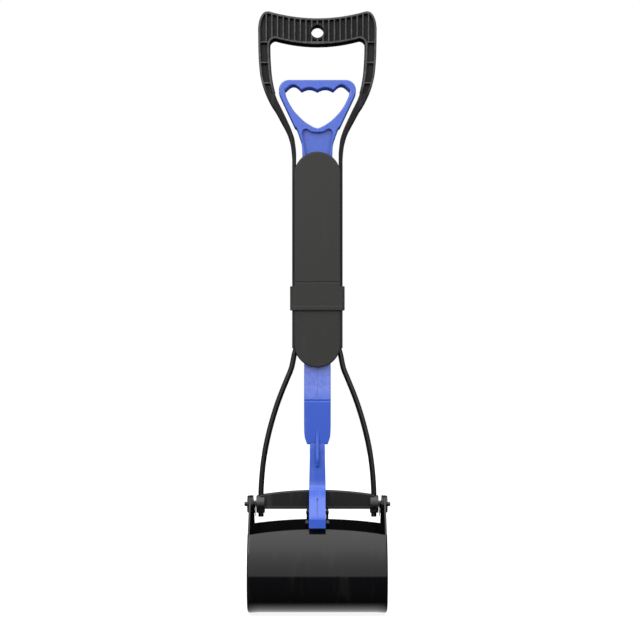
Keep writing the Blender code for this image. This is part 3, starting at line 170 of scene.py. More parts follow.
FLUTE_TOP_Z = 0.1130
FLUTE_FOOT_Z = 0.0975
CREASE_RELIEFS = 3

# Side rods, spreader bar and pivots
ROD_RADIUS = 0.0027
ROD_TOP_X = 0.0216
ROD_BOTTOM_X = 0.0564
ROD_TOP_Z = 0.2790
ROD_BOTTOM_Z = 0.0916
SPREADER_BOTTOM_Z = 0.0996
SPREADER_HEIGHT = 0.0138
SPREADER_ARCH = 0.0044
SPREADER_HALF_DEPTH = 0.0045
DRUM_RADIUS = 0.0088
DRUM_INNER_X = 0.0526
DRUM_OUTER_X = 0.0609
HUB_RADIUS = 0.0026
WASHER_RADIUS = 0.0085
WASHER_THICKNESS = 0.0016
PIVOT_SCREW_HEAD_RADIUS = 0.0022
PIVOT_SCREW_HEAD_LENGTH = 0.0027
PIVOT_SCREW_SHANK_RADIUS = 0.0012
PIVOT_SCREW_DEPTH = 0.0080
CROSS_SHARE = 0.6
SPRING_WIRE_RADIUS = 0.0004
SPRING_PITCH = 0.00122
SPRING_LEG = 0.0140
SPRING_SPLAY = math.radians(30)

# Jaws and the rod's pivots on them
JAW_HALF_WIDTH = 0.0680
JAW_WALL = 0.0018
JAW_DEPTH = 0.0520
JAW_RIM_Z = 0.0840
JAW_RIM_ARCH = 0.0050
JAW_CORNER = 0.0022
EAR_RADIUS = 0.0088
EAR_INSET = 0.00005
EAR_ROOT_Y = 0.0343
EAR_ROOT_HEIGHT = 0.0780
EAR_FOOT_HEIGHT = 0.0730
EAR_RIB_Y = (0.0110, 0.0150)
EAR_RIB_TOP_Z = 0.0990
EAR_RIB_HEIGHT = 0.0013
EAR_END_DEGREES = 250
STRAP_PIN_Y = 0.0355
STRAP_PIN_Z = 0.0904
STRAP_PIN_RADIUS = 0.0016
STRAP_SLOT_CLEARANCE = 0.00035
JAW_OPENING = math.radians(45)
LUG_THICKNESS = 0.0025
LUG_CLEARANCE = 0.0005
LUG_RADIUS = 0.0036
LUG_DROP = 0.0134
LUG_DEGREES = (-60, 200)
EYE_WALL_HEIGHT = 0.0022
EYE_WALL_END = 0.0015

# Smoothness of lines, rims, circles and tubes, and the angle from which an edge is drawn sharp
ROUND_STEPS = 4
LINE_STEPS = 6
ROD_STEPS = 8
CIRCLE_SIDES = 48
SMALL_SIDES = 24
THICK_TUBE = 5
THIN_TUBE = 3
SHARP_ANGLE = math.radians(32)

# The two sides, with the word in their pieces' names
SIDES = (("right", 1), ("left", -1))

# Grain, handling marks and painted highlights: noise scales by the metre, and the parts of a noise or an angle
# that show
GRAINS = 900.0
MOTTLES = 42.0
MOTTLE_SHARE = 0.4
MARKS = 120.0
MARK_STRETCH = (1.0, 1.0, 0.12)
MARK_RANGE = (0.56, 0.68)
MARK_STRENGTH = 0.16
# Painted highlight: the rims that it lights, how it is broken up, and the proud faces
RIM_RANGE = (0.08, 0.22)
PATCHES = 260.0
PATCH_RANGE = (0.35, 0.65)
PATCH_LEAST = 0.55
PROUD_STEP = 0.0005
# The height over which the painted highlight rises, and the share of painted sheen on the blue handle and on
# the rod
HIGHLIGHT_RISE = 0.012
HANDLE_SHEEN = 0.25
RAMP_SHEEN = 0.9

# Outline tables, as shares of the sizes that they follow
ARM_OUTER_SHARES = (
    (1.000, 1.000), (0.988, 0.805), (0.960, 0.687), (0.918, 0.609), (0.830, 0.531), (0.720, 0.463),
    (0.596, 0.401), (0.486, 0.357), (0.352, 0.291), (0.168, 0.200), (0.075, 0.128), (0.026, 0.058),
    (0.0, -0.019),
)
ARM_INNER_SHARES = (
    (1.000, 0.850), (0.989, 0.766), (0.945, 0.645), (0.862, 0.547), (0.742, 0.463), (0.604, 0.401),
    (0.497, 0.357), (0.246, 0.248), (0.140, 0.193), (0.058, 0.141), (0.016, 0.080), (0.0, 0.042),
)
GRIP_CORNER_SHARES = ((0.0, 0.0), (0.40, 0.05), (0.72, 0.28), (0.92, 0.62), (1.0, 1.0))
HANDLE_SIDE_SHARES = (
    (1.000, 0.863), (0.980, 0.834), (0.800, 0.726), (0.530, 0.572), (0.330, 0.459), (0.240, 0.433),
    (0.100, 0.328), (0.021, 0.252), (0.0, 0.144), (0.0, 0.0),
)
HANDLE_HOLE_SHARES = (
    (1.0, 0.885), (0.975, 0.76), (0.885, 0.60), (0.72, 0.40), (0.50, 0.225), (0.33, 0.12), (0.12, 0.03),
    (0.0, 0.0),
)
HANDLE_POCKET_SHARES = (
    (0.0, 0.85), (0.40, 0.875), (0.64, 0.97), (0.80, 0.99), (0.94, 0.93), (1.0, 0.80), (0.95, 0.60),
    (0.84, 0.20), (0.79, -0.10), (0.77, -0.52),
)
JAW_PROFILE_SHARES = (
    (0.665, 1.000), (0.777, 0.893), (0.891, 0.750), (0.963, 0.600), (0.992, 0.430), (0.963, 0.270),
    (0.880, 0.150), (0.735, 0.062), (0.560, 0.018), (0.380, 0.003), (0.180, 0.0),
)
ROD_SHARES = (
    (0.0, 1.0), (0.0, 0.95), (0.0, 0.905), (0.010, 0.885), (0.045, 0.862), (0.125, 0.792), (0.252, 0.733),
    (0.427, 0.653), (0.576, 0.575), (0.722, 0.483), (0.842, 0.389), (0.927, 0.296), (0.977, 0.205),
    (1.0, 0.125), (1.0, 0.06), (1.0, 0.0),
)
LEG_SHARES = (
    (0.176, 1.0), (0.182, 0.776), (0.187, 0.580), (0.200, 0.419), (0.289, 0.353), (0.550, 0.244),
    (0.825, 0.107), (0.949, 0.041), (0.99, 0.0),
)
FORK_TAPER_SHARES = ((1.0, 1.0), (0.95, 0.62), (0.75, 0.32), (0.0, 0.0))
LUG_SHARES = ((-1.08, 0.48), (-0.55, 1.0), (0.86, 1.0), (0.20, 0.66), (-0.15, 0.46))
FIN_SHARES = (
    (0.0, 1.0), (0.54, 1.0), (0.80, 0.60), (0.97, 0.28), (1.0, 0.17), (0.92, 0.06), (0.51, 0.0),
    (0.48, 0.39), (0.0, 0.39),
)

# Sizes that follow from the ones above
FOLD_Y = HOUSING_HALF_DEPTH + 0.0005
HANDLE_FOOT_Z = HOUSING_TOP_Z + GAP
OPENING_CORNER_X = ARM_INNER_HALF_WIDTH - GRIP_OPENING_CORNER
CHANNEL_BACK_Y = HOUSING_HALF_DEPTH - HOUSING_BACK_WALL
COVER_BACK_Y = -HOUSING_HALF_DEPTH - GAP
COVER_FRONT_Y = COVER_BACK_Y - COVER_THICKNESS
KNUCKLE_OUTER_X = KNUCKLE_INNER_X + KNUCKLE_WIDTH + GAP
POST_TIP_Y = COVER_BACK_Y + POST_LENGTH
SCREW_HEAD_SEAT_Y = HOUSING_HALF_DEPTH - SCREW_HEAD_HEIGHT - GAP
BAND_BOTTOM_Z = FOLD_Z - BAND_BELOW_FOLD
SLOT_HALF_WIDTH = ROD_KNUCKLE_HALF + LUG_CLEARANCE
PIN_DROP = JAW_PIVOT_Z - STRAP_PIN_Z
PIN_SWING = math.hypot(STRAP_PIN_Y, PIN_DROP)
PIN_OPEN_Y = STRAP_PIN_Y * math.cos(JAW_OPENING) + PIN_DROP * math.sin(JAW_OPENING)
PULL_TRAVEL = STRAP_PIN_Y * math.sin(JAW_OPENING) + PIN_DROP * (1 - math.cos(JAW_OPENING))
SLOT_RADIUS = STRAP_PIN_RADIUS + STRAP_SLOT_CLEARANCE
SLOT_INNER_Y = min(STRAP_PIN_Y, PIN_OPEN_Y) - RUNNING
SLOT_OUTER_Y = PIN_SWING + RUNNING
EYE_INNER_Y = SLOT_INNER_Y - SLOT_RADIUS - EYE_WALL_END
EYE_OUTER_Y = SLOT_OUTER_Y + SLOT_RADIUS + EYE_WALL_END
EYE_HALF_HEIGHT = SLOT_RADIUS + EYE_WALL_HEIGHT
EYE_MIDDLE_Y = (EYE_INNER_Y + EYE_OUTER_Y) / 2
LUG_INNER_X = STRAP_HALF_WIDTH + LUG_CLEARANCE
LUG_OUTER_X = LUG_INNER_X + LUG_THICKNESS
REAR_HALF_WIDTH = JAW_HALF_WIDTH - JAW_WALL - GAP
WASHER_X = JAW_HALF_WIDTH + GAP
ROD_REACH = EYE_OUTER_Y + OVERRUN


class ScooperSizes(bpy.types.PropertyGroup):
    """Roundings and fine relief that the plain solids leave out"""
    grip_rounding: FloatProperty(
        name="Grip rounding", description="Radius on the D-grip's rims", default=0.0010, unit="LENGTH")
    handle_rounding: FloatProperty(
        name="Handle rounding", description="Radius on the blue handle's rims", default=0.0013, unit="LENGTH")
    bar_rounding: FloatProperty(
        name="Bar rounding", description="Radius along the blue rod's edges", default=0.0010, unit="LENGTH")
    fin_rounding: FloatProperty(
        name="Fin rounding", description="Radius along the blue rod's fin", default=0.0012, unit="LENGTH")
    cover_rounding: FloatProperty(
        name="Cover rounding", description="Radius on a cover's front rim", default=0.0014, unit="LENGTH")
    edge_rounding: FloatProperty(
        name="Edge rounding", description="Radius on the smaller mouldings' rims", default=0.0006,
        unit="LENGTH")
    pocket_flare: FloatProperty(
        name="Pocket flare", description="Chamfer at the mouth of the grip's pockets", default=0.00025,
        unit="LENGTH")
    seam_radius: FloatProperty(
        name="Seam radius", description="Radius of the bead around the inside of the D-grip", default=0.0007,
        unit="LENGTH")
    relief: FloatProperty(
        name="Relief", description="Depth of grooves and steps on flat faces", default=0.0004, unit="LENGTH")


class ScooperFinish(bpy.types.PropertyGroup):
    """Colours of the scooper's plastics and steel"""
    black: FloatVectorProperty(
        name="Black", description="Satin black of the frame and the spreader bar", subtype="COLOR",
        default=(0.0045, 0.0045, 0.0050), min=0, max=1)
    cover: FloatVectorProperty(
        name="Cover", description="Dark grey of the covers and the lock band", subtype="COLOR",
        default=(0.0125, 0.0125, 0.0115), min=0, max=1)
    jaw: FloatVectorProperty(
        name="Jaw", description="Glossy black of the jaws", subtype="COLOR",
        default=(0.0035, 0.0035, 0.0040), min=0, max=1)
    blue: FloatVectorProperty(
        name="Blue", description="Blue of the pull handle and its rod", subtype="COLOR",
        default=(0.024, 0.082, 0.475), min=0, max=1)
    steel: FloatVectorProperty(
        name="Steel", description="Darkened steel of pins, screws and springs", subtype="COLOR",
        default=(0.040, 0.040, 0.042), min=0, max=1)


class ScooperStage(bpy.types.PropertyGroup):
    """Camera, floor and light"""
    camera_distance: FloatProperty(
        name="Camera distance", description="From the object's middle plane", default=1.3, unit="LENGTH")
    camera_height: FloatProperty(
        name="Camera height", description="Above the floor, the camera being level", default=0.288,
        unit="LENGTH")
    floor_radius: FloatProperty(
        name="Floor radius", description="Radius of the pale floor", default=1.5, unit="LENGTH")
    key_power: FloatProperty(
        name="Key power", description="Power of the soft light at the left", default=5.0, unit="POWER")
    fill_power: FloatProperty(
        name="Fill power", description="Power of the weak light at the right", default=1.6, unit="POWER")


# Lines and outlines

def spread(low, high, count):
    """Return values in even steps from low to high, with both ends."""
    return [low + (high - low) * step / count for step in range(count + 1)]


def smooth_line(points, steps=LINE_STEPS):
    """Return a Catmull-Rom curve through the points, with this many steps between two of them."""
    ends = [points[0]] + list(points) + [points[-1]]
    line = []
    for a, b, c, d in zip(ends, ends[1:], ends[2:], ends[3:]):
        for step in range(steps):
            t = step / steps
            line.append(tuple(
                q + t * (r - p + t * (2 * p - 5 * q + 4 * r - s + t * (3 * q - p - 3 * r + s))) / 2
                for p, q, r, s in zip(a, b, c, d)))
    line.append(tuple(points[-1]))
    return line


def arc(centre, radius, start, end, steps):
    """Return points on an arc, angles in degrees."""
    angles = [math.radians(angle) for angle in spread(start, end, steps)]
    return [(centre[0] + radius * math.cos(a), centre[1] + radius * math.sin(a)) for a in angles]


def circle(centre, radius, sides=SMALL_SIDES):
    """Return a closed circle."""
    return arc(centre, radius, 0, 360, sides)[:-1]


def rectangle(low, high):
    """Return a closed rectangle."""
    return [(low[0], low[1]), (high[0], low[1]), (high[0], high[1]), (low[0], high[1])]


def rounded_rectangle(low, high, radius):
    """Return a rectangle with round corners, counterclockwise."""
    corners = ((high[0] - radius, high[1] - radius, 0), (low[0] + radius, high[1] - radius, 90),
               (low[0] + radius, low[1] + radius, 180), (high[0] - radius, low[1] + radius, 270))
    return [point for x, y, start in corners for point in arc((x, y), radius, start, start + 90, LINE_STEPS)]


def offset_line(line, distance):
    """Return an open line moved sideways by a distance, to its left as it runs."""
    moved = []
    for index, (x, z) in enumerate(line):
        before = line[max(index - 1, 0)]
        after = line[min(index + 1, len(line) - 1)]
        along = Vector((after[0] - before[0], after[1] - before[1])).normalized()
        moved.append((x - along.y * distance, z + along.x * distance))
    return moved


def within(line, low, high=math.inf):
    """Return the points of a line that lie between two heights."""
    return [point for point in line if low < point[1] < high]


def turned_to(way, line):
    """Return a line as it is for way 1, or its mirror image for way -1."""
    return [(way * a, b) for a, b in line]


def span(way, near, far):
    """Return the low and the high end of a range on one side of the middle."""
    return sorted((way * near, way * far))


def both_sides(low, high):
    """Return a range and its mirror image."""
    return ((low, high), (-high, -low))


def mirrored(half):
    """Return a closed outline from the half at +X, listed from the top down."""
    return list(half) + [(-x, z) for x, z in reversed(half) if abs(x) > MERGE]


def between(shares, x_from, x_to, z_from, z_to):
    """Place a table of shares between two X values and two Z values."""
    return [(x_from + (x_to - x_from) * a, z_from + (z_to - z_from) * b) for a, b in shares]


def across(line, height):
    """Return the X of a line of points at a height."""
    for (x0, z0), (x1, z1) in zip(line, line[1:]):
        if min(z0, z1) <= height <= max(z0, z1) and z0 != z1:
            return x0 + (x1 - x0) * (height - z0) / (z1 - z0)
    return line[-1][0] if height < line[-1][1] else line[0][0]


def height_at(line, x):
    """Return the height where a line of points first reaches an X."""
    for (x0, z0), (x1, z1) in zip(line, line[1:]):
        if min(x0, x1) <= x <= max(x0, x1) and x0 != x1:
            return z0 + (z1 - z0) * (x - x0) / (x1 - x0)
    return line[0][1]


def cleaned(loop):
    """Return a closed outline without points that lie on each other."""
    kept = []
    for point in loop:
        if not kept or math.dist(point, kept[-1]) > MERGE:
            kept.append(point)
    if math.dist(kept[0], kept[-1]) <= MERGE:
        kept.pop()
    return kept


def grow(loop, distance):
    """Return a closed outline moved outwards by a distance."""
    if not distance:
        return list(loop)
    following = loop[1:] + loop[:1]
    area = sum(x0 * z1 - x1 * z0 for (x0, z0), (x1, z1) in zip(loop, following))
    outward = distance if area > 0 else -distance
    grown = []
    for before, here, after in zip(loop[-1:] + loop[:-1], loop, following):
        came = Vector((here[0] - before[0], here[1] - before[1])).normalized()
        goes = Vector((after[0] - here[0], after[1] - here[1])).normalized()
        sideways = Vector((came.y + goes.y, -came.x - goes.x)).normalized()
        reach = outward / max(sideways.dot(Vector((came.y, -came.x))), MITRE_LEAST)
        grown.append((here[0] + sideways.x * reach, here[1] + sideways.y * reach))
    return grown


# Directions in which outlines are read: front and side views, and from above

def front(a, b, depth):
    """Place an outline point of the front view."""
    return a, depth, b


def side(a, b, depth):
    """Place an outline point of the side view."""
    return depth, a, b


def above(a, b, depth):
    """Place an outline point of the view from above."""
    return a, b, depth


# Solids

def placed(name, data):
    """Put an object of this data into the scene."""
    made = bpy.data.objects.new(name, data)
    bpy.context.scene.collection.objects.link(made)
    return made


def mesh_of(name, work):
    """Turn a working mesh into the data of one."""
    mesh = bpy.data.meshes.new(name)
    work.to_mesh(mesh)
    work.free()
    return mesh


def loft(name, stacks, place):
    """Make closed solids, each through a stack of (depth, outline) rings of equal numbers of points."""
    work = bmesh.new()
    for rings in stacks:
        rows = [[work.verts.new(place(a, b, depth)) for a, b in loop] for depth, loop in rings]
        for low, high in zip(rows, rows[1:]):
            for index, corner in enumerate(low):
                after = (index + 1) % len(low)
                work.faces.new((corner, low[after], high[after], high[index]))
        work.faces.new(rows[0])
        work.faces.new(rows[-1])
    bmesh.ops.recalc_face_normals(work, faces=work.faces)
    return placed(name, mesh_of(name, work))


def rim_rings(loop_at, radius, face, inward, steps=ROUND_STEPS):
    """Return the rings of a rounded rim from its face inwards; loop_at gives the outline by its distance."""
    angles = spread(0, math.pi / 2, steps) if radius else [math.pi / 2]
    return [(face + inward * radius * (1 - math.cos(a)), loop_at(radius * (1 - math.sin(a)))) for a in angles]


def edge_rings(loop, low, high, low_radius=0.0, high_radius=0.0, steps=ROUND_STEPS, sign=-1):
    """Return the rings of a plate with rounded rims, or with sign 1 of an opening with rounded rims."""
    clean = cleaned(loop)

    def loop_at(distance):
        return grow(clean, sign * distance)
    return (rim_rings(loop_at, low_radius, low, 1, steps)
            + rim_rings(loop_at, high_radius, high, -1, steps)[::-1])


def run_past(rings):
    """Return the rings of a cutter that goes right through, run on past both ends."""
    return [(rings[0][0] - OVERRUN, rings[0][1])] + rings + [(rings[-1][0] + OVERRUN, rings[-1][1])]


def plate(name, loop, low, high, rounding=0.0, place=front):
    """Make a plate from an outline, its rims rounded."""
    return loft(name, [edge_rings(loop, low, high, rounding, rounding)], place)


def opening(name, loop, low, high, rounding=0.0, place=front):
    """Make the cutter of an opening that goes right through and whose rims are rounded."""
    return loft(name, [run_past(edge_rings(loop, low, high, rounding, rounding, sign=1))], place)


def pocket_rings(loop, face, floor, flare):
    """Return the rings of a blind pocket's cutter, with a chamfered mouth at the face."""
    loop = cleaned(loop)
    inward = 1 if floor > face else -1
    mouth = grow(loop, flare)
    return [(face - inward * OVERRUN, mouth), (face, mouth), (face + inward * flare, loop), (floor, loop)]


def box(name, low, high):
    """Make a box from its low corner to its high corner."""
    return plate(name, rectangle((low[0], low[2]), (high[0], high[2])), low[1], high[1])


def turned(name, profile, centre, place, sides=SMALL_SIDES):
    """Make a turned solid from (depth, radius) pairs about a centre in the view's plane."""
    return loft(name, [[(depth, circle(centre, radius, sides)) for depth, radius in profile]], place)


def drum(name, centre, radius, low, high, place, rounding=0.0, sides=CIRCLE_SIDES):
    """Make a cylinder with rounded rims."""
    return plate(name, circle(centre, radius, sides), low, high, rounding, place)


def tube(name, points, radius, resolution):
    """Make a round tube with closed ends along points."""
    curve = bpy.data.curves.new(name, "CURVE")
    curve.dimensions = "3D"
    curve.bevel_depth = radius
    curve.bevel_resolution = resolution
    curve.use_fill_caps = True
    spline = curve.splines.new("POLY")
    spline.points.add(len(points) - 1)
    for point, place in zip(spline.points, points):
        point.co = (*place, 1)
    return settled(placed(name, curve))


def settled(piece, tools=()):
    """Apply a piece's modifiers, weld it and remove the tools that they used."""
    bpy.context.view_layer.update()
    mesh = bpy.data.meshes.new_from_object(piece.evaluated_get(bpy.context.evaluated_depsgraph_get()))
    work = bmesh.new()
    work.from_mesh(mesh)
    bmesh.ops.remove_doubles(work, verts=work.verts, dist=MERGE)
    bmesh.ops.recalc_face_normals(work, faces=work.faces)
    work.to_mesh(mesh)
    work.free()
    made = placed(piece.name, mesh)
    for old in (piece, *tools):
        bpy.data.objects.remove(old, do_unlink=True)
    return made


def shaped(piece, *changes, tolerant=False):
    """Cut, fuse or intersect a piece with tools, given as (operation, tool) pairs, and settle it."""
    for operation, tool in changes:
        modifier = piece.modifiers.new(tool.name, "BOOLEAN")
        modifier.operation = operation
        modifier.solver = "EXACT"
        modifier.use_hole_tolerant = tolerant
        modifier.object = tool
    return settled(piece, [tool for _, tool in changes])


def cuts(*tools):
    """Return the tools as changes that cut."""
    return [("DIFFERENCE", tool) for tool in tools]


def joins(*tools):
    """Return the tools as changes that fuse."""
    return [("UNION", tool) for tool in tools]


def dressed(piece, name, finish, slot, body, *nodes):
    """Name a piece, shade it, give it its finish and hang it on its body in place of CAD nodes."""
    piece.name = name
    piece.data.name = name
    piece.data.materials.clear()
    piece.data.materials.append(finish)
    piece.data.shade_smooth()
    piece.data.set_sharp_from_angle(angle=SHARP_ANGLE)
    weighted = piece.modifiers.new("weighted normals", "WEIGHTED_NORMAL")
    weighted.keep_sharp = True
    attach(piece, body)
    if nodes:
        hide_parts(*nodes)
    return piece


# Shader node groups

def new_group(name, output, **inputs):
    """Return a shader node group, the sockets that its float inputs come from, and its output's socket."""
    group = bpy.data.node_groups.new(name, "ShaderNodeTree")
    for label, value in inputs.items():
        made = group.interface.new_socket(name=label, in_out="INPUT", socket_type="NodeSocketFloat")
        made.default_value = value
    group.interface.new_socket(name=output, in_out="OUTPUT", socket_type="NodeSocketFloat")
    return group, group.nodes.new("NodeGroupInput").outputs, group.nodes.new("NodeGroupOutput").inputs[output]


def add_node(tree, kind, links=(), **values):
    """Add a node, set its values, and give its inputs (input, source socket or plain value) pairs."""
    made = tree.nodes.new(kind)
    for key, value in values.items():
        setattr(made, key, value)
    for key, source in links:
        if isinstance(source, bpy.types.NodeSocket):
            tree.links.new(source, made.inputs[key])
        else:
            made.inputs[key].default_value = source
    return made


def maths(tree, operation, *values):
    """Return what an operation makes of sockets or numbers."""
    return add_node(tree, "ShaderNodeMath", enumerate(values), operation=operation).outputs[0]


def ranged(tree, value, low, high, to_low=0.0, to_high=1.0, **values):
    """Return a value mapped from one range to another, and kept within it."""
    return add_node(tree, "ShaderNodeMapRange", (
        ("Value", value), ("From Min", low), ("From Max", high), ("To Min", to_low), ("To Max", to_high)),
        **values).outputs["Result"]


def noise(tree, place, scale, detail):
    """Return the value of a noise."""
    return add_node(tree, "ShaderNodeTexNoise", (
        ("Vector", place), ("Scale", scale), ("Detail", detail))).outputs["Fac"]


def parts(tree, vector):
    """Return the X, Y and Z of a vector."""
    return add_node(tree, "ShaderNodeSeparateXYZ", (("Vector", vector),)).outputs


def grain_group():
    """Moulded grain: a height that varies over a given number of grains a metre."""
    group, start, end = new_group("moulded_grain", "Height", Grains=GRAINS, Mottle=MOTTLE_SHARE)
    place = group.nodes.new("ShaderNodeTexCoord").outputs["Object"]
    fine = noise(group, place, start["Grains"], detail=2.0)
    broad = maths(group, "MULTIPLY", noise(group, place, MOTTLES, detail=1.0), start["Mottle"])
    group.links.new(maths(group, "ADD", fine, broad), end)
    return group


def marks_group():
    """Handling marks: faint upright rubs and specks, as a mask."""
    group, start, end = new_group("handling_marks", "Mask", Marks=MARKS)
    place = group.nodes.new("ShaderNodeTexCoord").outputs["Object"]
    upright = add_node(group, "ShaderNodeMapping", (("Vector", place), ("Scale", MARK_STRETCH)))
    rubs = noise(group, upright.outputs["Vector"], start["Marks"], detail=3.0)
    group.links.new(ranged(group, rubs, *MARK_RANGE), end)
    return group


def painted_highlight_group():
    """A painted highlight as a mask, broken up a little: on rims between a moulding's front or back and its
    sides, and on what lies further from the middle plane than Past and higher than Above."""
    group, start, end = new_group("painted_rim_highlight", "Mask", Patches=PATCHES, Wear=1.0, Front=0.0, Above=0.0,
                                  Past=0.0)
    place = group.nodes.new("ShaderNodeTexCoord").outputs
    facing = maths(group, "ABSOLUTE", parts(group, place["Normal"])["Y"])
    rim = maths(group, "MULTIPLY", facing, maths(group, "SUBTRACT", 1.0, facing))
    edge = ranged(group, rim, *RIM_RANGE, to_high=start["Wear"])
    point = parts(group, place["Object"])
    depth = maths(group, "ABSOLUTE", point["Y"])
    past = maths(group, "ADD", start["Past"], PROUD_STEP)
    proud = ranged(group, depth, start["Past"], past, to_high=start["Front"])
    highlight_height = ranged(group, maths(group, "SUBTRACT", point["Z"], start["Above"]), 0.0, HIGHLIGHT_RISE)
    either = maths(group, "MAXIMUM", edge, maths(group, "MULTIPLY", proud, highlight_height))
    patches = noise(group, place["Object"], start["Patches"], detail=2.0)
    uneven = ranged(group, patches, *PATCH_RANGE, to_low=PATCH_LEAST)
    group.links.new(maths(group, "MULTIPLY", either, uneven), end)
    return group


GROUPS = {}


def group_node(tree, name, **values):
    """Place a shared effect in a material, with the material's own values, and return its output."""
    makers = {"moulded_grain": grain_group, "handling_marks": marks_group, "painted_rim_highlight": painted_highlight_group}
    if name not in GROUPS:
        GROUPS[name] = makers[name]()
    return add_node(tree, "ShaderNodeGroup", values.items(), node_tree=GROUPS[name]).outputs[0]


# Finishes

def new_finish(name, base, paler, roughness, rubbed, grains, depth, specular=0.5, metallic=0.0,
               mottle=MOTTLE_SHARE, rims=0.0, proud=0.0, highlight_above=0.0, highlight_past=0.0):
    """Return a moulded or metal finish: its colour, how much paler it is at handling marks and where a
    highlight is painted on, and its grain.
    """
    if name in bpy.data.materials:
        return bpy.data.materials[name]
    made = bpy.data.materials.new(name)
    made.use_nodes = True
    tree = made.node_tree
    shader = tree.nodes["Principled BSDF"]
    shader.inputs["Metallic"].default_value = metallic
    shader.inputs["Specular IOR Level"].default_value = specular
    grain = group_node(tree, "moulded_grain", Grains=grains, Mottle=mottle)
    rubs = group_node(tree, "handling_marks", Marks=MARKS)
    # Painted highlight on rims and proud faces, joined with the real handling marks
    highlight_mask = group_node(tree, "painted_rim_highlight", Wear=rims, Front=proud, Above=highlight_above, Past=highlight_past)
    mask = maths(tree, "MAXIMUM", highlight_mask, maths(tree, "MULTIPLY", rubs, MARK_STRENGTH))
    marks_and_highlight_colour = [min(part + paler, 1.0) for part in base]
    colour = add_node(tree, "ShaderNodeMix", (
        ("Factor", mask), ("A", (*base, 1.0)), ("B", (*marks_and_highlight_colour, 1.0))), data_type="RGBA")
    bump = add_node(tree, "ShaderNodeBump", (("Height", grain), ("Strength", 1.0), ("Distance", depth)))
    tree.links.new(colour.outputs["Result"], shader.inputs["Base Color"])
    tree.links.new(ranged(tree, rubs, 0.0, 1.0, roughness, rubbed), shader.inputs["Roughness"])
    tree.links.new(bump.outputs["Normal"], shader.inputs["Normal"])
    return made


def satin_black(colours):
    """Satin black of the lower housing and the spreader bar."""
    # rims: a paler painted highlight along the rims of the lower housing and the spreader bar
    return new_finish("satin_black_moulding", colours.black, paler=0.06, roughness=0.34, rubbed=0.44,
                      specular=0.42, grains=1100.0, depth=0.000018, rims=0.7)


def highlit_black(colours):
    """Satin black of the D-grip and its arms, with a paler painted highlight on its rims and on the front and
    back faces of its ribs and rims above the arms' channels.
    """
    return new_finish("highlit_black_moulding", colours.black, paler=0.075, roughness=0.34, rubbed=0.44,
                      specular=0.2, grains=1100.0, depth=0.000018, rims=0.15, proud=1.0,
                      highlight_above=ARM_CHANNEL_END_Z - GRIP_RIM, highlight_past=GRIP_HALF_DEPTH - GRIP_PROUD)


def matte_grey(colours):
    """Fine matte grey of the covers and the band."""
    # rims: a faint paler painted highlight along the rims of the covers and the band
    return new_finish("matte_grey_moulding", colours.cover, paler=0.03, roughness=0.58, rubbed=0.66,
                      specular=0.45, grains=1400.0, depth=0.00003, rims=0.3)


def gloss_black(colours):
    """Glossy black of the jaws."""
    return new_finish("gloss_black_moulding", colours.jaw, paler=0.02, roughness=0.08, rubbed=0.13,
                      specular=0.375, grains=300.0, depth=0.000002, mottle=0.8)


def blue_plastic(colours, name, sheen_share, highlight_above):
    """Semi-gloss blue of the pull handle and its rod, with a paler painted sheen from a given height up and a
    faint painted highlight on its rims.
    """
    return new_finish(name, colours.blue, paler=0.10, roughness=0.28, rubbed=0.36, specular=0.7,
                      grains=700.0, depth=0.000006, rims=0.08, proud=sheen_share, highlight_above=highlight_above)


def coated_steel(colours):
    """Black coating of the side rods."""
    return new_finish("black_coated_steel", colours.black, paler=0.03, roughness=0.24, rubbed=0.32,
                      grains=1600.0, depth=0.000006)


def dark_steel(colours):
    """Darkened steel of pins, screws, washers and springs."""
    return new_finish("dark_steel", colours.steel, paler=0.2, roughness=0.34, rubbed=0.44, metallic=1.0,
                      grains=1800.0, depth=0.000004)


# Fold and screws, which several mouldings share

def knuckle(name, x_low, x_high, way, web, root_y, back_y):
    """Make one knuckle with its web; way is +1 above the fold and -1 below it."""
    outline = [(root_y, FOLD_Z + way * web), (back_y, FOLD_Z + way * web)]
    outline += arc((FOLD_Y, FOLD_Z), KNUCKLE_RADIUS, way * KNUCKLE_START_DEGREES, way * -180, steps=20)
    outline += [(root_y, FOLD_Z + way * GAP)]
    return plate(name, outline, x_low, x_high, place=side)


def fold_cylinder(name, x_low, x_high, radius):
    """Make a cylinder on the fold's axis."""
    return drum(name, (FOLD_Y, FOLD_Z), radius, x_low, x_high, side, sides=SMALL_SIDES)


def knuckles(way, own, other, pins, web, root_y, back_y):
    """Return what gives a piece its knuckles, room for those of the piece that folds on it, and pin holes."""
    changes = cuts(*(fold_cylinder("knuckle_room", low - GAP, high + GAP, KNUCKLE_RADIUS + GAP)
                     for low, high in other))
    changes += joins(*(knuckle("knuckle", low, high, way, web, root_y, back_y) for low, high in own))
    return changes + cuts(*(fold_cylinder("pin_hole", low, high, FOLD_PIN_RADIUS + RUNNING)
                            for low, high in pins))


def housing_fold(way):
    """Return the changes at the fold of the upper half of the housing, way 1, or the lower half, way -1."""
    inner = (KNUCKLE_INNER_X, KNUCKLE_INNER_X + KNUCKLE_WIDTH)
    outer = (KNUCKLE_OUTER_X, KNUCKLE_OUTER_X + KNUCKLE_WIDTH)
    own, other = (outer, inner) if way > 0 else (inner, outer)
    return knuckles(way, both_sides(*own), both_sides(*other),
                    both_sides(inner[0] - OVERRUN, outer[1] + OVERRUN),
                    KNUCKLE_WEB, FOLD_Y - KNUCKLE_RADIUS, HOUSING_HALF_DEPTH)


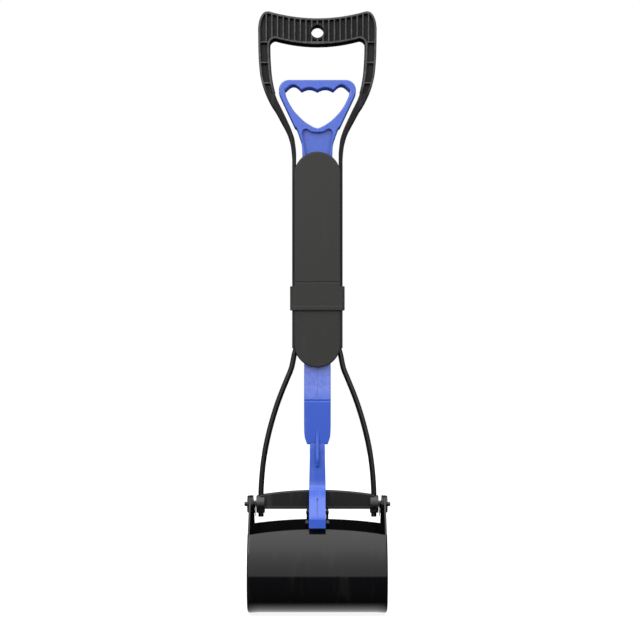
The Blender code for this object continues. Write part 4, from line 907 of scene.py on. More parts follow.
def rod_fold(way):
    """Return the changes at the fold of the handle's bar, way 1, or of the forked rod, way -1."""
    tongue = ((-ROD_TONGUE_HALF, ROD_TONGUE_HALF),)
    fork = both_sides(ROD_TONGUE_HALF + GAP, ROD_KNUCKLE_HALF)
    own, other = (tongue, fork) if way > 0 else (fork, tongue)
    return knuckles(way, own, other, ((-SLOT_HALF_WIDTH, SLOT_HALF_WIDTH),),
                    ROD_WEB, BAR_HALF_DEPTH - HOUSING_BACK_WALL, BAR_HALF_DEPTH)


def screw_places(half):
    """Return X and Z of the screws in the upper or the lower half of the housing."""
    if half == "upper":
        heights = [FOLD_Z + share * (HOUSING_TOP_Z - FOLD_Z) for share in UPPER_SCREW_SHARES]
    else:
        heights = [FOLD_Z - LOWER_SCREW_BELOW]
    return [(way * SCREW_X, height) for height in heights for way in (-1, 1)]


def screw_cuts(half):
    """Return what cuts the posts' holes, the shanks' holes and the heads' seats through a housing half."""
    profile = ((-HOUSING_HALF_DEPTH - OVERRUN, POST_RADIUS + GAP), (POST_TIP_Y + GAP, POST_RADIUS + GAP),
               (POST_TIP_Y + GAP, SCREW_SHANK_RADIUS + GAP), (SCREW_HEAD_SEAT_Y, SCREW_SHANK_RADIUS + GAP),
               (SCREW_HEAD_SEAT_Y, SCREW_HEAD_RADIUS + GAP),
               (HOUSING_HALF_DEPTH + OVERRUN, SCREW_HEAD_RADIUS + GAP))
    return cuts(*(turned("screw_hole", profile, place, front) for place in screw_places(half)))


def housing_changes(half, way, channel_end, slot_depth, *more):
    """Return what cuts the bar's channel, the fold's slot, more tools and the screws' holes into a housing
    half, and adds its knuckles."""
    middle = FOLD_Z - way * OVERRUN
    channel, slot = sorted((middle, channel_end)), sorted((middle, FOLD_Z + way * slot_depth))
    outside = HOUSING_HALF_DEPTH + OVERRUN
    changes = cuts(
        box("channel", (-CHANNEL_HALF_WIDTH, -outside, channel[0]),
            (CHANNEL_HALF_WIDTH, CHANNEL_BACK_Y, channel[1])),
        box("knuckle_slot", (-SLOT_HALF_WIDTH, CHANNEL_BACK_Y - OVERRUN, slot[0]),
            (SLOT_HALF_WIDTH, outside, slot[1])), *more)
    return changes + housing_fold(way) + screw_cuts(half)


# Pieces

def arm_outer():
    """Return the outer edge of the right arm, from the shoulder down."""
    return smooth_line(between(ARM_OUTER_SHARES, HOUSING_HALF_WIDTH, GRIP_HALF_WIDTH,
                               ARM_FOOT_Z, ARM_SHOULDER_Z))


def arm_inner():
    """Return the inner edge of the right arm, from the shoulder down."""
    line = smooth_line(between(ARM_INNER_SHARES, ARM_FOOT_INNER_X, ARM_INNER_HALF_WIDTH,
                               ARM_FOOT_Z, ARM_SHOULDER_Z))
    return within(line, HOUSING_TOP_Z)


def grip_outline():
    """Return the right half of the D-grip's outer edge, from the middle of its top to the arm's foot."""
    line = [(GRIP_CORNER_X * step / 12, GRIP_TOP_Z - GRIP_DIP * (1 - (step / 12) ** 2)) for step in range(12)]
    line += smooth_line(between(GRIP_CORNER_SHARES, GRIP_CORNER_X, GRIP_HALF_WIDTH,
                                GRIP_TOP_Z, ARM_SHOULDER_Z), ROUND_STEPS)
    return line + arm_outer()[1:]


def grip_underside(x):
    """Return the height of the D-grip's bowed underside."""
    return GRIP_UNDERSIDE_Z + GRIP_UNDERSIDE_BOW * (x / GRIP_UNDERSIDE_X) ** 2


def cell_floor(x):
    """Return the lower end of the pockets between the D-grip's ribs, which rounds the opening's corner."""
    radius = GRIP_OPENING_CORNER + GRIP_RIM
    beyond = min(max(x - OPENING_CORNER_X, 0), radius)
    drop = radius - math.sqrt(radius ** 2 - beyond ** 2)
    floor = grip_underside(min(x, OPENING_CORNER_X)) + GRIP_RIM - drop
    return max(floor, ARM_TOP_RIB_Z + GRIP_RIB / 2)


def grip_cells():
    """Return the outlines of the pockets between the D-grip's ribs and between the arms' cross ribs."""
    half_rib = GRIP_RIB / 2
    rim = offset_line(grip_outline(), -GRIP_RIM)
    cells = []
    for index in range(GRIP_CELLS // 2):
        low = index * GRIP_RIB_PITCH + half_rib
        high = (index + 1) * GRIP_RIB_PITCH - half_rib
        floors = [(x, cell_floor(x)) for x in spread(low, high, 4)]
        cells.append([floors[0], (low, height_at(rim, low)), (high, height_at(rim, high))] + floors[:0:-1])
    start = GRIP_CELLS // 2 * GRIP_RIB_PITCH + half_rib
    floor = ARM_TOP_RIB_Z + half_rib
    corner = [point for point in within(rim, floor) if point[0] > start]
    cells.append([(start, floor), (start, height_at(rim, start))] + corner + [(across(rim, floor), floor)])
    outer, inner = arm_outer(), arm_inner()
    top = ARM_TOP_RIB_Z - half_rib
    while top > ARM_CHANNEL_END_Z + GRIP_RIM:
        bottom = max(top - ARM_RIB_PITCH + GRIP_RIB, ARM_CHANNEL_END_Z)
        heights = spread(top, bottom, 8)
        cells.append([(across(outer, z) - GRIP_RIM, z) for z in heights]
                     + [(across(inner, z) + GRIP_RIM, z) for z in reversed(heights)])
        top = bottom - GRIP_RIB
    return cells + [turned_to(-1, cell) for cell in cells]


def make_upper_frame(sizes, colours):
    """Make the ribbed D-grip, its arms and the upper half of the housing."""
    depth, rounding = GRIP_HALF_DEPTH, sizes.grip_rounding
    outer = mirrored(grip_outline() + [(HOUSING_HALF_WIDTH, FOLD_Z + GAP)])
    piece = plate("frame", outer, -depth, depth, rounding)
    corner = (OPENING_CORNER_X, grip_underside(OPENING_CORNER_X) - GRIP_OPENING_CORNER)
    inner = [(x, grip_underside(x)) for x in spread(0, OPENING_CORNER_X, 10)[:-1]]
    inner += arc(corner, GRIP_OPENING_CORNER, 90, 0, steps=12)
    seam = inner + within(arm_inner(), ARM_CHANNEL_END_Z)
    seam = [(-x, 0, z) for x, z in reversed(seam)] + [(x, 0, z) for x, z in seam[1:]]
    inner = mirrored(inner + arm_inner() + [(ARM_FOOT_INNER_X, HOUSING_TOP_Z)])
    cells = grip_cells()
    centre = (0, HOLE_Z)
    hole = opening("hanging_hole", circle(centre, HOLE_RADIUS, CIRCLE_SIDES), -depth, depth, rounding)
    changes = cuts(opening("grip_opening", inner, -depth, depth, rounding), *(
        loft("pockets", [pocket_rings(cell, way * depth, way * GRIP_WEB / 2, sizes.pocket_flare)
                         for cell in cells], front) for way in (-1, 1)))
    low_face = depth - rounding
    changes += joins(drum("hole_boss", centre, HOLE_BOSS_RADIUS, -low_face, low_face, front),
                     tube("seam", seam, sizes.seam_radius, THIN_TUBE))
    changes += cuts(hole)
    changes += housing_changes("upper", 1, HOUSING_TOP_Z + OVERRUN, PULL_TRAVEL + ROD_WEB + LUG_CLEARANCE)
    dressed(shaped(piece, *changes), "upper_frame_moulding", highlit_black(colours), "black_plastic",
            "upper", "upper_frame")


def make_lower_housing(sizes, colours):
    """Make the lower half of the housing, which holds the side rods."""
    guide_x = CHANNEL_HALF_WIDTH + GUIDE_WALL
    foot_radius = COVER_HALF_WIDTH - GUIDE_INSET
    start = -math.degrees(math.acos(guide_x / foot_radius))
    half = [(HOUSING_HALF_WIDTH, FOLD_Z - GAP), (HOUSING_HALF_WIDTH, RAIL_FOOT_Z), (guide_x, RAIL_FOOT_Z)]
    half += arc((0, COVER_BOTTOM_Z + COVER_HALF_WIDTH), foot_radius, start, -90, steps=24)
    piece = plate("housing", mirrored(half), -HOUSING_HALF_DEPTH, HOUSING_HALF_DEPTH, sizes.edge_rounding)
    rod_holes = (drum("rod_hole", (way * ROD_TOP_X, 0), ROD_RADIUS + GAP, RAIL_FOOT_Z - OVERRUN,
                      ROD_TOP_Z + GAP, above, sides=SMALL_SIDES) for way in (-1, 1))
    changes = housing_changes("lower", -1, COVER_BOTTOM_Z - OVERRUN, ROD_WEB + LUG_CLEARANCE, *rod_holes)
    dressed(shaped(piece, *changes), "lower_housing_moulding", satin_black(colours), "black_plastic",
            "lower", "lower_housing")


def cover_plate(name, line, split, rounding):
    """Make a cover's plate, its front rim rounded except at the fold."""
    whole = cleaned(mirrored(line))
    rings = [(depth, [(x, split if abs(z0 - split) < MERGE else z) for (x, z), (_, z0) in zip(loop, whole)])
             for depth, loop in edge_rings(whole, COVER_FRONT_Y, COVER_BACK_Y, rounding)]
    return loft(name, [rings], front)


def make_covers(sizes, colours):
    """Make the two front covers with their screw posts."""
    radius = COVER_HALF_WIDTH
    top = arc((0, COVER_TOP_Z - radius), radius, 90, 0, steps=32)
    bottom = arc((0, COVER_BOTTOM_Z + radius), radius, 0, -90, steps=32)
    for half, line, split in (("upper", top + [(radius, FOLD_Z + GAP)], FOLD_Z + GAP),
                              ("lower", [(radius, FOLD_Z - GAP)] + bottom, FOLD_Z - GAP)):
        piece = cover_plate(half + "_cover_plate", line, split, sizes.cover_rounding)
        changes = []
        for place in screw_places(half):
            changes += joins(drum("post", place, POST_RADIUS, COVER_BACK_Y - COVER_THICKNESS / 2, POST_TIP_Y,
                                  front, sides=SMALL_SIDES))
            changes += cuts(drum("post_bore", place, SCREW_SHANK_RADIUS + GAP, COVER_BACK_Y,
                                 POST_TIP_Y + OVERRUN, front, sides=SMALL_SIDES))
        if half == "upper":
            groove = [(COVER_FRONT_Y - OVERRUN, COVER_GROOVE_WIDTH / 2 + OVERRUN),
                      (COVER_FRONT_Y + sizes.relief, COVER_GROOVE_WIDTH / 2 - sizes.relief)]
            loop = [(y, COVER_GROOVE_Z + z) for y, z in groove]
            loop += [(y, COVER_GROOVE_Z - z) for y, z in reversed(groove)]
            changes += cuts(plate("groove", loop, -HOUSING_HALF_WIDTH, HOUSING_HALF_WIDTH, place=side))
        dressed(shaped(piece, *changes), half + "_cover_moulding", matte_grey(colours), "grey_plastic",
                half, half + "_cover")


def make_lock_band(sizes, colours):
    """Make the sleeve that locks the fold, with a raised lip along its lower edge."""
    inner_x = HOUSING_HALF_WIDTH + GAP
    front_y = COVER_FRONT_Y - GAP
    pad_y = HOUSING_HALF_DEPTH + BAND_BACK_CLEARANCE
    pocket_x = KNUCKLE_OUTER_X + KNUCKLE_WIDTH + BAND_POCKET_CLEARANCE
    pocket_y = FOLD_Y + KNUCKLE_RADIUS + BAND_POCKET_CLEARANCE
    inner = [(-inner_x, front_y), (inner_x, front_y), (inner_x, pad_y), (pocket_x, pad_y),
             (pocket_x, pocket_y), (-pocket_x, pocket_y), (-pocket_x, pad_y), (-inner_x, pad_y)]
    outer = rounded_rectangle((-inner_x - BAND_WALL, front_y - BAND_WALL),
                              (inner_x + BAND_WALL, pocket_y + BAND_WALL), BAND_CORNER)
    low, high = BAND_BOTTOM_Z, BAND_BOTTOM_Z + BAND_HEIGHT
    panel = rectangle((-HOUSING_HALF_WIDTH + sizes.edge_rounding, low + BAND_LIP_HEIGHT),
                      (HOUSING_HALF_WIDTH - sizes.edge_rounding, high + OVERRUN))
    face = front_y - BAND_WALL
    piece = shaped(plate("band", outer, low, high, sizes.edge_rounding, above), *cuts(
        opening("band_opening", inner, low, high, sizes.edge_rounding / 2, above),
        loft("panel", [pocket_rings(panel, face, face + sizes.relief, BAND_STEP_SHARE * sizes.relief)],
             front)))
    dressed(piece, "lock_band_moulding", matte_grey(colours), "grey_plastic", "band", "lock_band")


def handle_hole(growth):
    """Return the finger opening, moved into the handle by a growth."""
    half = []
    steps = 48
    for step in range(steps + 1):
        x = HANDLE_HOLE_HALF_WIDTH * step / steps
        phase = math.pi * x / SCALLOP_PITCH
        depth = SCALLOP_INNER_DEPTH if x < SCALLOP_PITCH else SCALLOP_DEPTH
        slope = depth * math.pi / SCALLOP_PITCH * math.cos(phase)
        lift = growth * math.sqrt(1 + slope * slope)
        half.append((x + growth * step / steps, HANDLE_HOLE_TOP_Z - SCALLOP_DEPTH
                     + depth * abs(math.sin(phase)) + lift))
    half_width = HANDLE_HOLE_HALF_WIDTH + growth
    side_line = between(HANDLE_HOLE_SHARES, 0, half_width, HANDLE_HOLE_BOTTOM_Z - growth, HANDLE_HOLE_TOP_Z)
    return mirrored(half + smooth_line(side_line)[1:])


def make_pull_handle(sizes, colours):
    """Make the blue handle, its scalloped finger opening and the bar that runs down to the fold."""
    depth, rounding = HANDLE_HALF_DEPTH, sizes.handle_rounding
    corner = (HANDLE_HALF_WIDTH - HANDLE_CORNER, HANDLE_TOP_Z - HANDLE_CORNER)
    line = between(HANDLE_SIDE_SHARES, HANDLE_FOOT_HALF_WIDTH, HANDLE_HALF_WIDTH, HANDLE_FOOT_Z, HANDLE_TOP_Z)
    half = [(0, HANDLE_TOP_Z)] + arc(corner, HANDLE_CORNER, 90, 0, steps=16) + smooth_line(line)
    piece = plate("handle", mirrored(half), -depth, depth, rounding)
    rings = rim_rings(handle_hole, rounding, -depth, 1) + rim_rings(handle_hole, rounding, depth, -1)[::-1]
    pocket = mirrored(smooth_line(between(HANDLE_POCKET_SHARES, 0, HANDLE_POCKET_HALF_WIDTH,
                                          COVER_TOP_Z, HANDLE_POCKET_TOP_Z), ROUND_STEPS))
    changes = cuts(loft("finger_opening", [run_past(rings)], front), *(
        loft("pocket", [pocket_rings(pocket, way * depth, way * (depth - HANDLE_POCKET_DEPTH),
                                     sizes.edge_rounding)], front) for way in (-1, 1)))
    changes += joins(box("bar", (-BAR_HALF_WIDTH, -BAR_HALF_DEPTH, FOLD_Z + GAP),
                         (BAR_HALF_WIDTH, BAR_HALF_DEPTH, HANDLE_FOOT_Z + GRIP_RIM)))
    # The handle's blue has a painted sheen above its foot
    finish = blue_plastic(colours, "blue_handle_painted_sheen", HANDLE_SHEEN, HANDLE_FOOT_Z)
    dressed(shaped(piece, *changes, *rod_fold(1)), "pull_handle_moulding", finish, "blue_plastic",
            "handle", "pull_handle")


def rod_bar(sizes):
    """Make the rod's upper part: its bar, the ramp and crease of its front, and its tapering foot."""
    crease = CREASE_RELIEFS * sizes.relief
    ridge, front_y, neck = -ROD_RIDGE_DEPTH, -ROD_FRONT_DEPTH, FORK_NECK_HALF_DEPTH
    half, top = BAR_HALF_WIDTH - RUNNING, FOLD_Z - GAP
    foot_y, foot_z = neck - 2 * sizes.relief, FORK_NECK_Z - FORK_THICKNESS / 2
    side_view = [(BAR_HALF_DEPTH, top), (BAR_HALF_DEPTH, FORK_SLOPE_Z), (neck, FORK_NECK_Z),
                 (foot_y, foot_z), (-foot_y, foot_z), (-neck, FORK_NECK_Z), (ridge, FORK_SLOPE_Z - crease),
                 (ridge, FORK_SLOPE_Z + crease), (ridge + crease, FORK_SLOPE_Z + 2 * crease),
                 (ridge + sizes.relief, FORK_SLOPE_Z + 3 * crease), (front_y, COVER_BOTTOM_Z),
                 (front_y, top)]
    front_view = [(0, FOLD_Z + OVERRUN), (2 * half, FOLD_Z + OVERRUN), (2 * half, FORK_TAPER_Z)]
    front_view += smooth_line(between(FORK_TAPER_SHARES, FORK_SHOULDER_HALF, half,
                                      FORK_SHOULDER_Z, FORK_TAPER_Z))
    front_view += [(STRAP_TOP_HALF, FORK_SHOULDER_Z - FORK_THICKNESS / 2),
                   (STRAP_TOP_HALF, foot_z - OVERRUN)]
    return shaped(plate("rod_bar", side_view, -half, half, sizes.bar_rounding, side),
                  ("INTERSECT", plate("bar_front_view", mirrored(front_view), -ROD_REACH, ROD_REACH)))


def rod_straps(sizes, leg):
    """Make the rod's two bowed legs with their eyes; leg is the middle line of one."""
    eye_top, eye_bottom = STRAP_PIN_Z + EYE_HALF_HEIGHT, STRAP_PIN_Z - EYE_HALF_HEIGHT
    inside = FORK_NECK_Z + OVERRUN
    neck = FORK_NECK_HALF_DEPTH - sizes.relief
    outer = within(offset_line(leg, FORK_THICKNESS / 2), eye_top, FORK_NECK_Z - FORK_THICKNESS)
    inner = within(offset_line(leg, -FORK_THICKNESS / 2), eye_top, FORK_CROTCH_Z - FORK_THICKNESS)
    half = [(neck, inside), (neck, FORK_NECK_Z)] + outer
    half += [(EYE_OUTER_Y, eye_top), (EYE_OUTER_Y, eye_bottom), (EYE_INNER_Y, eye_bottom),
             (EYE_INNER_Y, eye_top)] + inner[::-1]
    side_view = half + [(0, FORK_CROTCH_Z)] + turned_to(-1, reversed(half))
    shoulder_z = FORK_SHOULDER_Z - FORK_THICKNESS / 2
    front_view = [(0, inside), (STRAP_TOP_HALF, inside), (STRAP_TOP_HALF, shoulder_z),
                  (2 * STRAP_HALF_WIDTH - STRAP_TOP_HALF, 2 * STRAP_WIDE_Z - shoulder_z)]
    straps = plate("straps", side_view, -STRAP_HALF_WIDTH, STRAP_HALF_WIDTH, sizes.edge_rounding, side)
    return shaped(straps, ("INTERSECT", plate("strap_front_view", mirrored(front_view),
                                              -ROD_REACH, ROD_REACH)))


def rod_grooves(sizes, leg):
    """Make the cutters of the groove in the ramp and of the flute in the front leg's foot."""
    crease = CREASE_RELIEFS * sizes.relief
    ridge, front_y = -ROD_RIDGE_DEPTH, -ROD_FRONT_DEPTH
    foot_z = FORK_SLOPE_Z + 4 * crease
    groove = [(ridge + crease, foot_z), (front_y + sizes.relief, COVER_BOTTOM_Z),
              (front_y - crease, COVER_BOTTOM_Z), (ridge - crease, foot_z)]
    floor = within(offset_line(leg, FORK_THICKNESS / 2 - crease), FLUTE_FOOT_Z, FLUTE_TOP_Z)
    mouth = within(offset_line(leg, FORK_THICKNESS), FLUTE_FOOT_Z, FLUTE_TOP_Z)
    flute = turned_to(-1, floor + mouth[::-1])
    return (plate("groove", groove, -sizes.relief, sizes.relief, place=side),
            plate("flute", flute, -crease / 2, crease / 2, place=side))


def make_pull_rod(sizes, colours):
    """Make the forked blue rod: its bar, its two bowed legs with slotted eyes, its fin and its grooves."""
    leg = smooth_line(between(LEG_SHARES, 0, EYE_MIDDLE_Y, STRAP_PIN_Z + EYE_HALF_HEIGHT, FORK_NECK_Z))
    fin = mirrored(between(FIN_SHARES, 0, FIN_REACH, FIN_FOOT_Z, FIN_TOP_Z))
    bar = rod_bar(sizes)
    changes = joins(rod_straps(sizes, leg),
                    plate("fin", fin, -FIN_HALF_WIDTH, FIN_HALF_WIDTH, sizes.fin_rounding, side))
    for way in (-1, 1):
        slot = arc((way * SLOT_OUTER_Y, STRAP_PIN_Z), SLOT_RADIUS, -90 * way, 180 - 90 * way, steps=12)
        slot += arc((way * SLOT_INNER_Y, STRAP_PIN_Z), SLOT_RADIUS, 90 * way, 180 + 90 * way, steps=12)
        changes += cuts(opening("eye_slot", slot, -STRAP_HALF_WIDTH, STRAP_HALF_WIDTH, place=side))
    changes += cuts(*rod_grooves(sizes, leg))
    # The rod's blue has a painted sheen from its ramp up
    finish = blue_plastic(colours, "blue_rod_painted_sheen", RAMP_SHEEN, FORK_SLOPE_Z)
    dressed(shaped(bar, *changes, *rod_fold(-1)), "pull_rod_moulding", finish, "blue_plastic",
            "rod", "pull_rod")


def make_side_rods(colours):
    """Make the two bent rods."""
    line = smooth_line(between(ROD_SHARES, ROD_TOP_X, ROD_BOTTOM_X, ROD_BOTTOM_Z, ROD_TOP_Z), ROD_STEPS)
    for word, way in SIDES:
        piece = tube("rod", [(way * x, 0, z) for x, z in line], ROD_RADIUS, THICK_TUBE)
        dressed(piece, "bent_rod_" + word, coated_steel(colours), "black_steel", "lower", "side_rod_" + word)


def make_spreader_bar(sizes, colours):
    """Make the bar between the rods with a drum and a hub at each end."""
    half_span = (DRUM_INNER_X + DRUM_OUTER_X) / 2
    top = SPREADER_BOTTOM_Z + SPREADER_HEIGHT
    arch = [(half_span * step / 16, top + SPREADER_ARCH * (1 - (step / 16) ** 2)) for step in range(17)]
    depth, line_z = SPREADER_HALF_DEPTH, SPREADER_BOTTOM_Z + ROD_RADIUS
    piece = plate("bar", mirrored(arch + [(half_span, SPREADER_BOTTOM_Z)]), -depth, depth,
                  sizes.edge_rounding)
    step = [(-depth - OVERRUN, line_z), (-depth + sizes.relief / 2, line_z),
            (-depth, line_z - sizes.relief), (-depth - OVERRUN, line_z - sizes.relief)]
    changes = cuts(plate("step", step, -DRUM_INNER_X, DRUM_INNER_X, place=side))
    centre = (0, JAW_PIVOT_Z)
    for way in (-1, 1):
        hub = span(way, DRUM_INNER_X + ROD_RADIUS, JAW_HALF_WIDTH)
        changes += joins(drum("drum", centre, DRUM_RADIUS, *span(way, DRUM_INNER_X, DRUM_OUTER_X), side,
                              sizes.edge_rounding),
                         drum("hub", centre, HUB_RADIUS, *hub, side, sides=SMALL_SIDES))
    reach = DRUM_RADIUS + OVERRUN
    for way in (-1, 1):
        hole = span(way, JAW_HALF_WIDTH - PIVOT_SCREW_DEPTH - GAP, JAW_HALF_WIDTH + OVERRUN)
        changes += cuts(drum("rod_eye", (way * ROD_BOTTOM_X, 0), ROD_RADIUS + GAP, JAW_PIVOT_Z - reach,
                             JAW_PIVOT_Z + reach, above, sides=SMALL_SIDES),
                        drum("screw_hole", centre, PIVOT_SCREW_SHANK_RADIUS + GAP, *hole, side,
                             sides=SMALL_SIDES))
    dressed(shaped(piece, *changes), "spreader_bar_moulding", satin_black(colours), "black_plastic",
            "lower", "spreader_bar")


def spring_path(way, turn_points=20):
    """Return the wire of a torsion spring: a leg, the coil around the hub and the other leg."""
    mean_radius = HUB_RADIUS + GAP + SPRING_WIRE_RADIUS + GAP
    start, end = math.pi - SPRING_SPLAY, SPRING_SPLAY - 2 * math.pi
    turns = (start - end) / (2 * math.pi)
    steps = round(turns * turn_points)
    width = SPRING_PITCH * turns
    room = REAR_HALF_WIDTH - JAW_WALL - DRUM_OUTER_X
    first_x = DRUM_OUTER_X + (room - width) / 2
    points = [(way * x, mean_radius * math.cos(angle), JAW_PIVOT_Z + mean_radius * math.sin(angle))
              for x, angle in zip(spread(first_x, first_x + width, steps), spread(start, end, steps))]
    reach_y = SPRING_LEG * math.sin(SPRING_SPLAY)
    reach_z = SPRING_LEG * math.cos(SPRING_SPLAY)
    first, last = points[0], points[-1]
    return ([(first[0], first[1] - reach_y, first[2] - reach_z)] + points
            + [(last[0], last[1] + reach_y, last[2] - reach_z)])


def make_springs(colours):
    """Make the two torsion springs that close the jaws."""
    for word, way in SIDES:
        piece = tube("spring", spring_path(way), SPRING_WIRE_RADIUS, THIN_TUBE)
        dressed(piece, "spring_" + word, dark_steel(colours), "steel", "lower", "torsion_spring_" + word)


def cross_recess(place, centre, face, depth, reach):
    """Return the cutters of a screw's cross recess, sunk from its face."""
    low, high = sorted((face, face - depth))
    low, high = (low, high + OVERRUN) if depth > 0 else (low - OVERRUN, high)
    arm = reach / 4
    return [plate("recess", rectangle((centre[0] - a, centre[1] - b), (centre[0] + a, centre[1] + b)),
                  low, high, place=place) for a, b in ((reach, arm), (arm, reach))]


def make_housing_screws(steel):
    """Make the screws that hold the covers from behind."""
    head_y = SCREW_HEAD_SEAT_Y + GAP
    face = head_y + SCREW_HEAD_HEIGHT
    tip_y = COVER_BACK_Y + SCREW_TIP_COVER
    crown = SCREW_HEAD_HEIGHT / 4
    profile = ((tip_y, SCREW_SHANK_RADIUS / 2), (tip_y + crown, SCREW_SHANK_RADIUS),
               (head_y, SCREW_SHANK_RADIUS), (head_y, SCREW_HEAD_RADIUS),
               (face - crown, SCREW_HEAD_RADIUS), (face, SCREW_HEAD_RADIUS - crown))
    for half in ("upper", "lower"):
        for index, place in enumerate(screw_places(half)):
            recess = cross_recess(front, place, face, SCREW_HEAD_HEIGHT / 2, POST_RADIUS / 2)
            name = f"{half}_screw_{index + 1}"
            dressed(shaped(turned("screw", profile, place, front), *cuts(*recess)), name + "_cross", steel,
                    "steel", half, name)


def make_pivot_screws(steel):
    """Make the jaws' pivot screws and their washers."""
    centre = (0, JAW_PIVOT_Z)
    washer_end = WASHER_X + WASHER_THICKNESS
    head = washer_end + GAP
    face = head + PIVOT_SCREW_HEAD_LENGTH
    crown = PIVOT_SCREW_HEAD_LENGTH / 4
    for word, way in SIDES:
        low, high = span(way, WASHER_X, washer_end)
        hole = opening("hole", circle(centre, PIVOT_SCREW_SHANK_RADIUS + GAP), low, high, place=side)
        washer = shaped(drum("washer", centre, WASHER_RADIUS, low, high, side, GAP), *cuts(hole))
        dressed(washer, "washer_" + word, steel, "steel", "lower", "pivot_washer_" + word)
        profile = turned_to(way, (
            (JAW_HALF_WIDTH - PIVOT_SCREW_DEPTH, PIVOT_SCREW_SHANK_RADIUS), (head, PIVOT_SCREW_SHANK_RADIUS),
            (head, PIVOT_SCREW_HEAD_RADIUS), (face - crown, PIVOT_SCREW_HEAD_RADIUS),
            (face, PIVOT_SCREW_HEAD_RADIUS - crown)))
        recess = cross_recess(side, centre, way * face, way * PIVOT_SCREW_HEAD_LENGTH / 2,
                              PIVOT_SCREW_HEAD_RADIUS * CROSS_SHARE)
        dressed(shaped(turned("screw", profile, centre, side), *cuts(*recess)),
                "pivot_screw_cross_" + word, steel, "steel", "lower", "pivot_screw_" + word)


def finish_pins(steel):
    """Give the pins, whose plain solids are right, their steel."""
    for name in ("fold_pin_left", "fold_pin_right", "rod_fold_pin", "front_strap_pin", "rear_strap_pin"):
        NODES[name].data.materials.clear()
        NODES[name].data.materials.append(steel)


def ear_outline(way):
    """Return an ear: a disc about the pivot that runs down into the side wall."""
    to_root = math.atan2(EAR_ROOT_HEIGHT - JAW_PIVOT_Z, EAR_ROOT_Y)
    distance = math.hypot(EAR_ROOT_Y, EAR_ROOT_HEIGHT - JAW_PIVOT_Z)
    tangent = math.degrees(to_root + math.acos(EAR_RADIUS / distance))
    outline = [(GAP + EAR_INSET, EAR_FOOT_HEIGHT), (EAR_ROOT_Y, EAR_FOOT_HEIGHT),
               (EAR_ROOT_Y, EAR_ROOT_HEIGHT)]
    return turned_to(way, outline + arc((0, JAW_PIVOT_Z), EAR_RADIUS, tangent, EAR_END_DEGREES, steps=32))


def jaw_loop(way):
    """Return a jaw's side outline; it runs on past the rim and past the lips."""
    profile = smooth_line([(JAW_DEPTH * a, JAW_RIM_Z * b) for a, b in JAW_PROFILE_SHARES], ROUND_STEPS)
    top, below = profile[0], profile[1]
    rise = 2 * JAW_CORNER + OVERRUN
    past_rim = (top[0] + (top[0] - below[0]) * rise / (top[1] - below[1]), top[1] + rise)
    return turned_to(way, [(-rise, past_rim[1]), past_rim] + profile + [(-rise, profile[-1][1])])


def make_jaw(word, half_width, way, finish):
    """Make a jaw with its ears and its two lugs."""
    loop = jaw_loop(way)
    jaw = loft("form", [edge_rings(loop, -half_width, half_width, JAW_CORNER, JAW_CORNER, steps=8)], side)
    inner_half, corner = half_width - JAW_WALL, JAW_CORNER - JAW_WALL
    inside = loft("inside", [edge_rings(grow(cleaned(loop), -JAW_WALL), -inner_half, inner_half,
                                        corner, corner, steps=6)], side)
    beyond, deep = half_width + OVERRUN, JAW_DEPTH + OVERRUN
    rim = [(x, JAW_RIM_Z - JAW_RIM_ARCH * (x / half_width) ** 2)
           for x in (beyond * step / 12 for step in range(-12, 13))]
    rim += [(beyond, JAW_PIVOT_Z), (-beyond, JAW_PIVOT_Z)]
    lips = span(way, GAP, -deep)
    changes = cuts(inside,
                   box("lip_plane", (-beyond, lips[0], -OVERRUN), (beyond, lips[1], JAW_PIVOT_Z + OVERRUN)),
                   plate("rim_arch", rim, -deep, deep))
    changes += joins(*(plate("ear", ear_outline(way), low, high, place=side)
                       for low, high in both_sides(inner_half + EAR_INSET, half_width - EAR_INSET)))
    if word == "front":
        rib = rectangle((-EAR_RIB_Y[1], EAR_FOOT_HEIGHT), (-EAR_RIB_Y[0], EAR_RIB_TOP_Z))
        changes += joins(*(plate("ear_rib", rib, low, high, place=side)
                           for low, high in both_sides(inner_half - EAR_RIB_HEIGHT, inner_half + 2 * GAP)))
    lug = arc((STRAP_PIN_Y, STRAP_PIN_Z), LUG_RADIUS, *LUG_DEGREES, steps=20)
    lug += [(STRAP_PIN_Y + a * LUG_RADIUS, STRAP_PIN_Z - b * LUG_DROP) for a, b in LUG_SHARES]
    changes += joins(*(plate("lug", turned_to(way, lug), low, high, place=side)
                       for low, high in both_sides(LUG_INNER_X, LUG_OUTER_X)))
    changes += cuts(
        drum("ear_bore", (0, JAW_PIVOT_Z), HUB_RADIUS + RUNNING, -beyond, beyond, side, sides=SMALL_SIDES),
        drum("lug_bore", (way * STRAP_PIN_Y, STRAP_PIN_Z), STRAP_PIN_RADIUS + RUNNING,
             -LUG_OUTER_X - OVERRUN, LUG_OUTER_X + OVERRUN, side, sides=SMALL_SIDES))
    piece = shaped(jaw, *changes, tolerant=True)
    dressed(piece, word + "_jaw_moulding", finish, "jaw_plastic", word + "_jaw_body", word + "_jaw")


def make_jaws(colours):
    """Make the two glossy jaws."""
    finish = gloss_black(colours)
    make_jaw("front", JAW_HALF_WIDTH, -1, finish)
    make_jaw("rear", REAR_HALF_WIDTH, 1, finish)


# Stage

LENS = 73.125
SENSOR = 36.0
CAMERA_X = 0.0026

# Floor: white to the camera, its grey that takes the shadow, and its glow in reflections by distance
FLOOR_WHITE = 0.86
FLOOR_GREY = 0.25
GLOW = 2.0
GLOW_FADES = (("X", 0.055, 0.080), ("Y", 0.036, 0.056))

# Brightness of the studio by elevation in degrees, its greatest value, and how it falls to the sides
SKY_LEVELS = ((-90, 0.02), (-7, 0.02), (-4, 1.0), (12, 1.25), (28, 1.75), (51, 2.8), (90, 3.2))
SKY_TOP = 3.2
SKY_SIDES = (0.66, 0.95)
SKY_SIDE_SHARE = 0.3

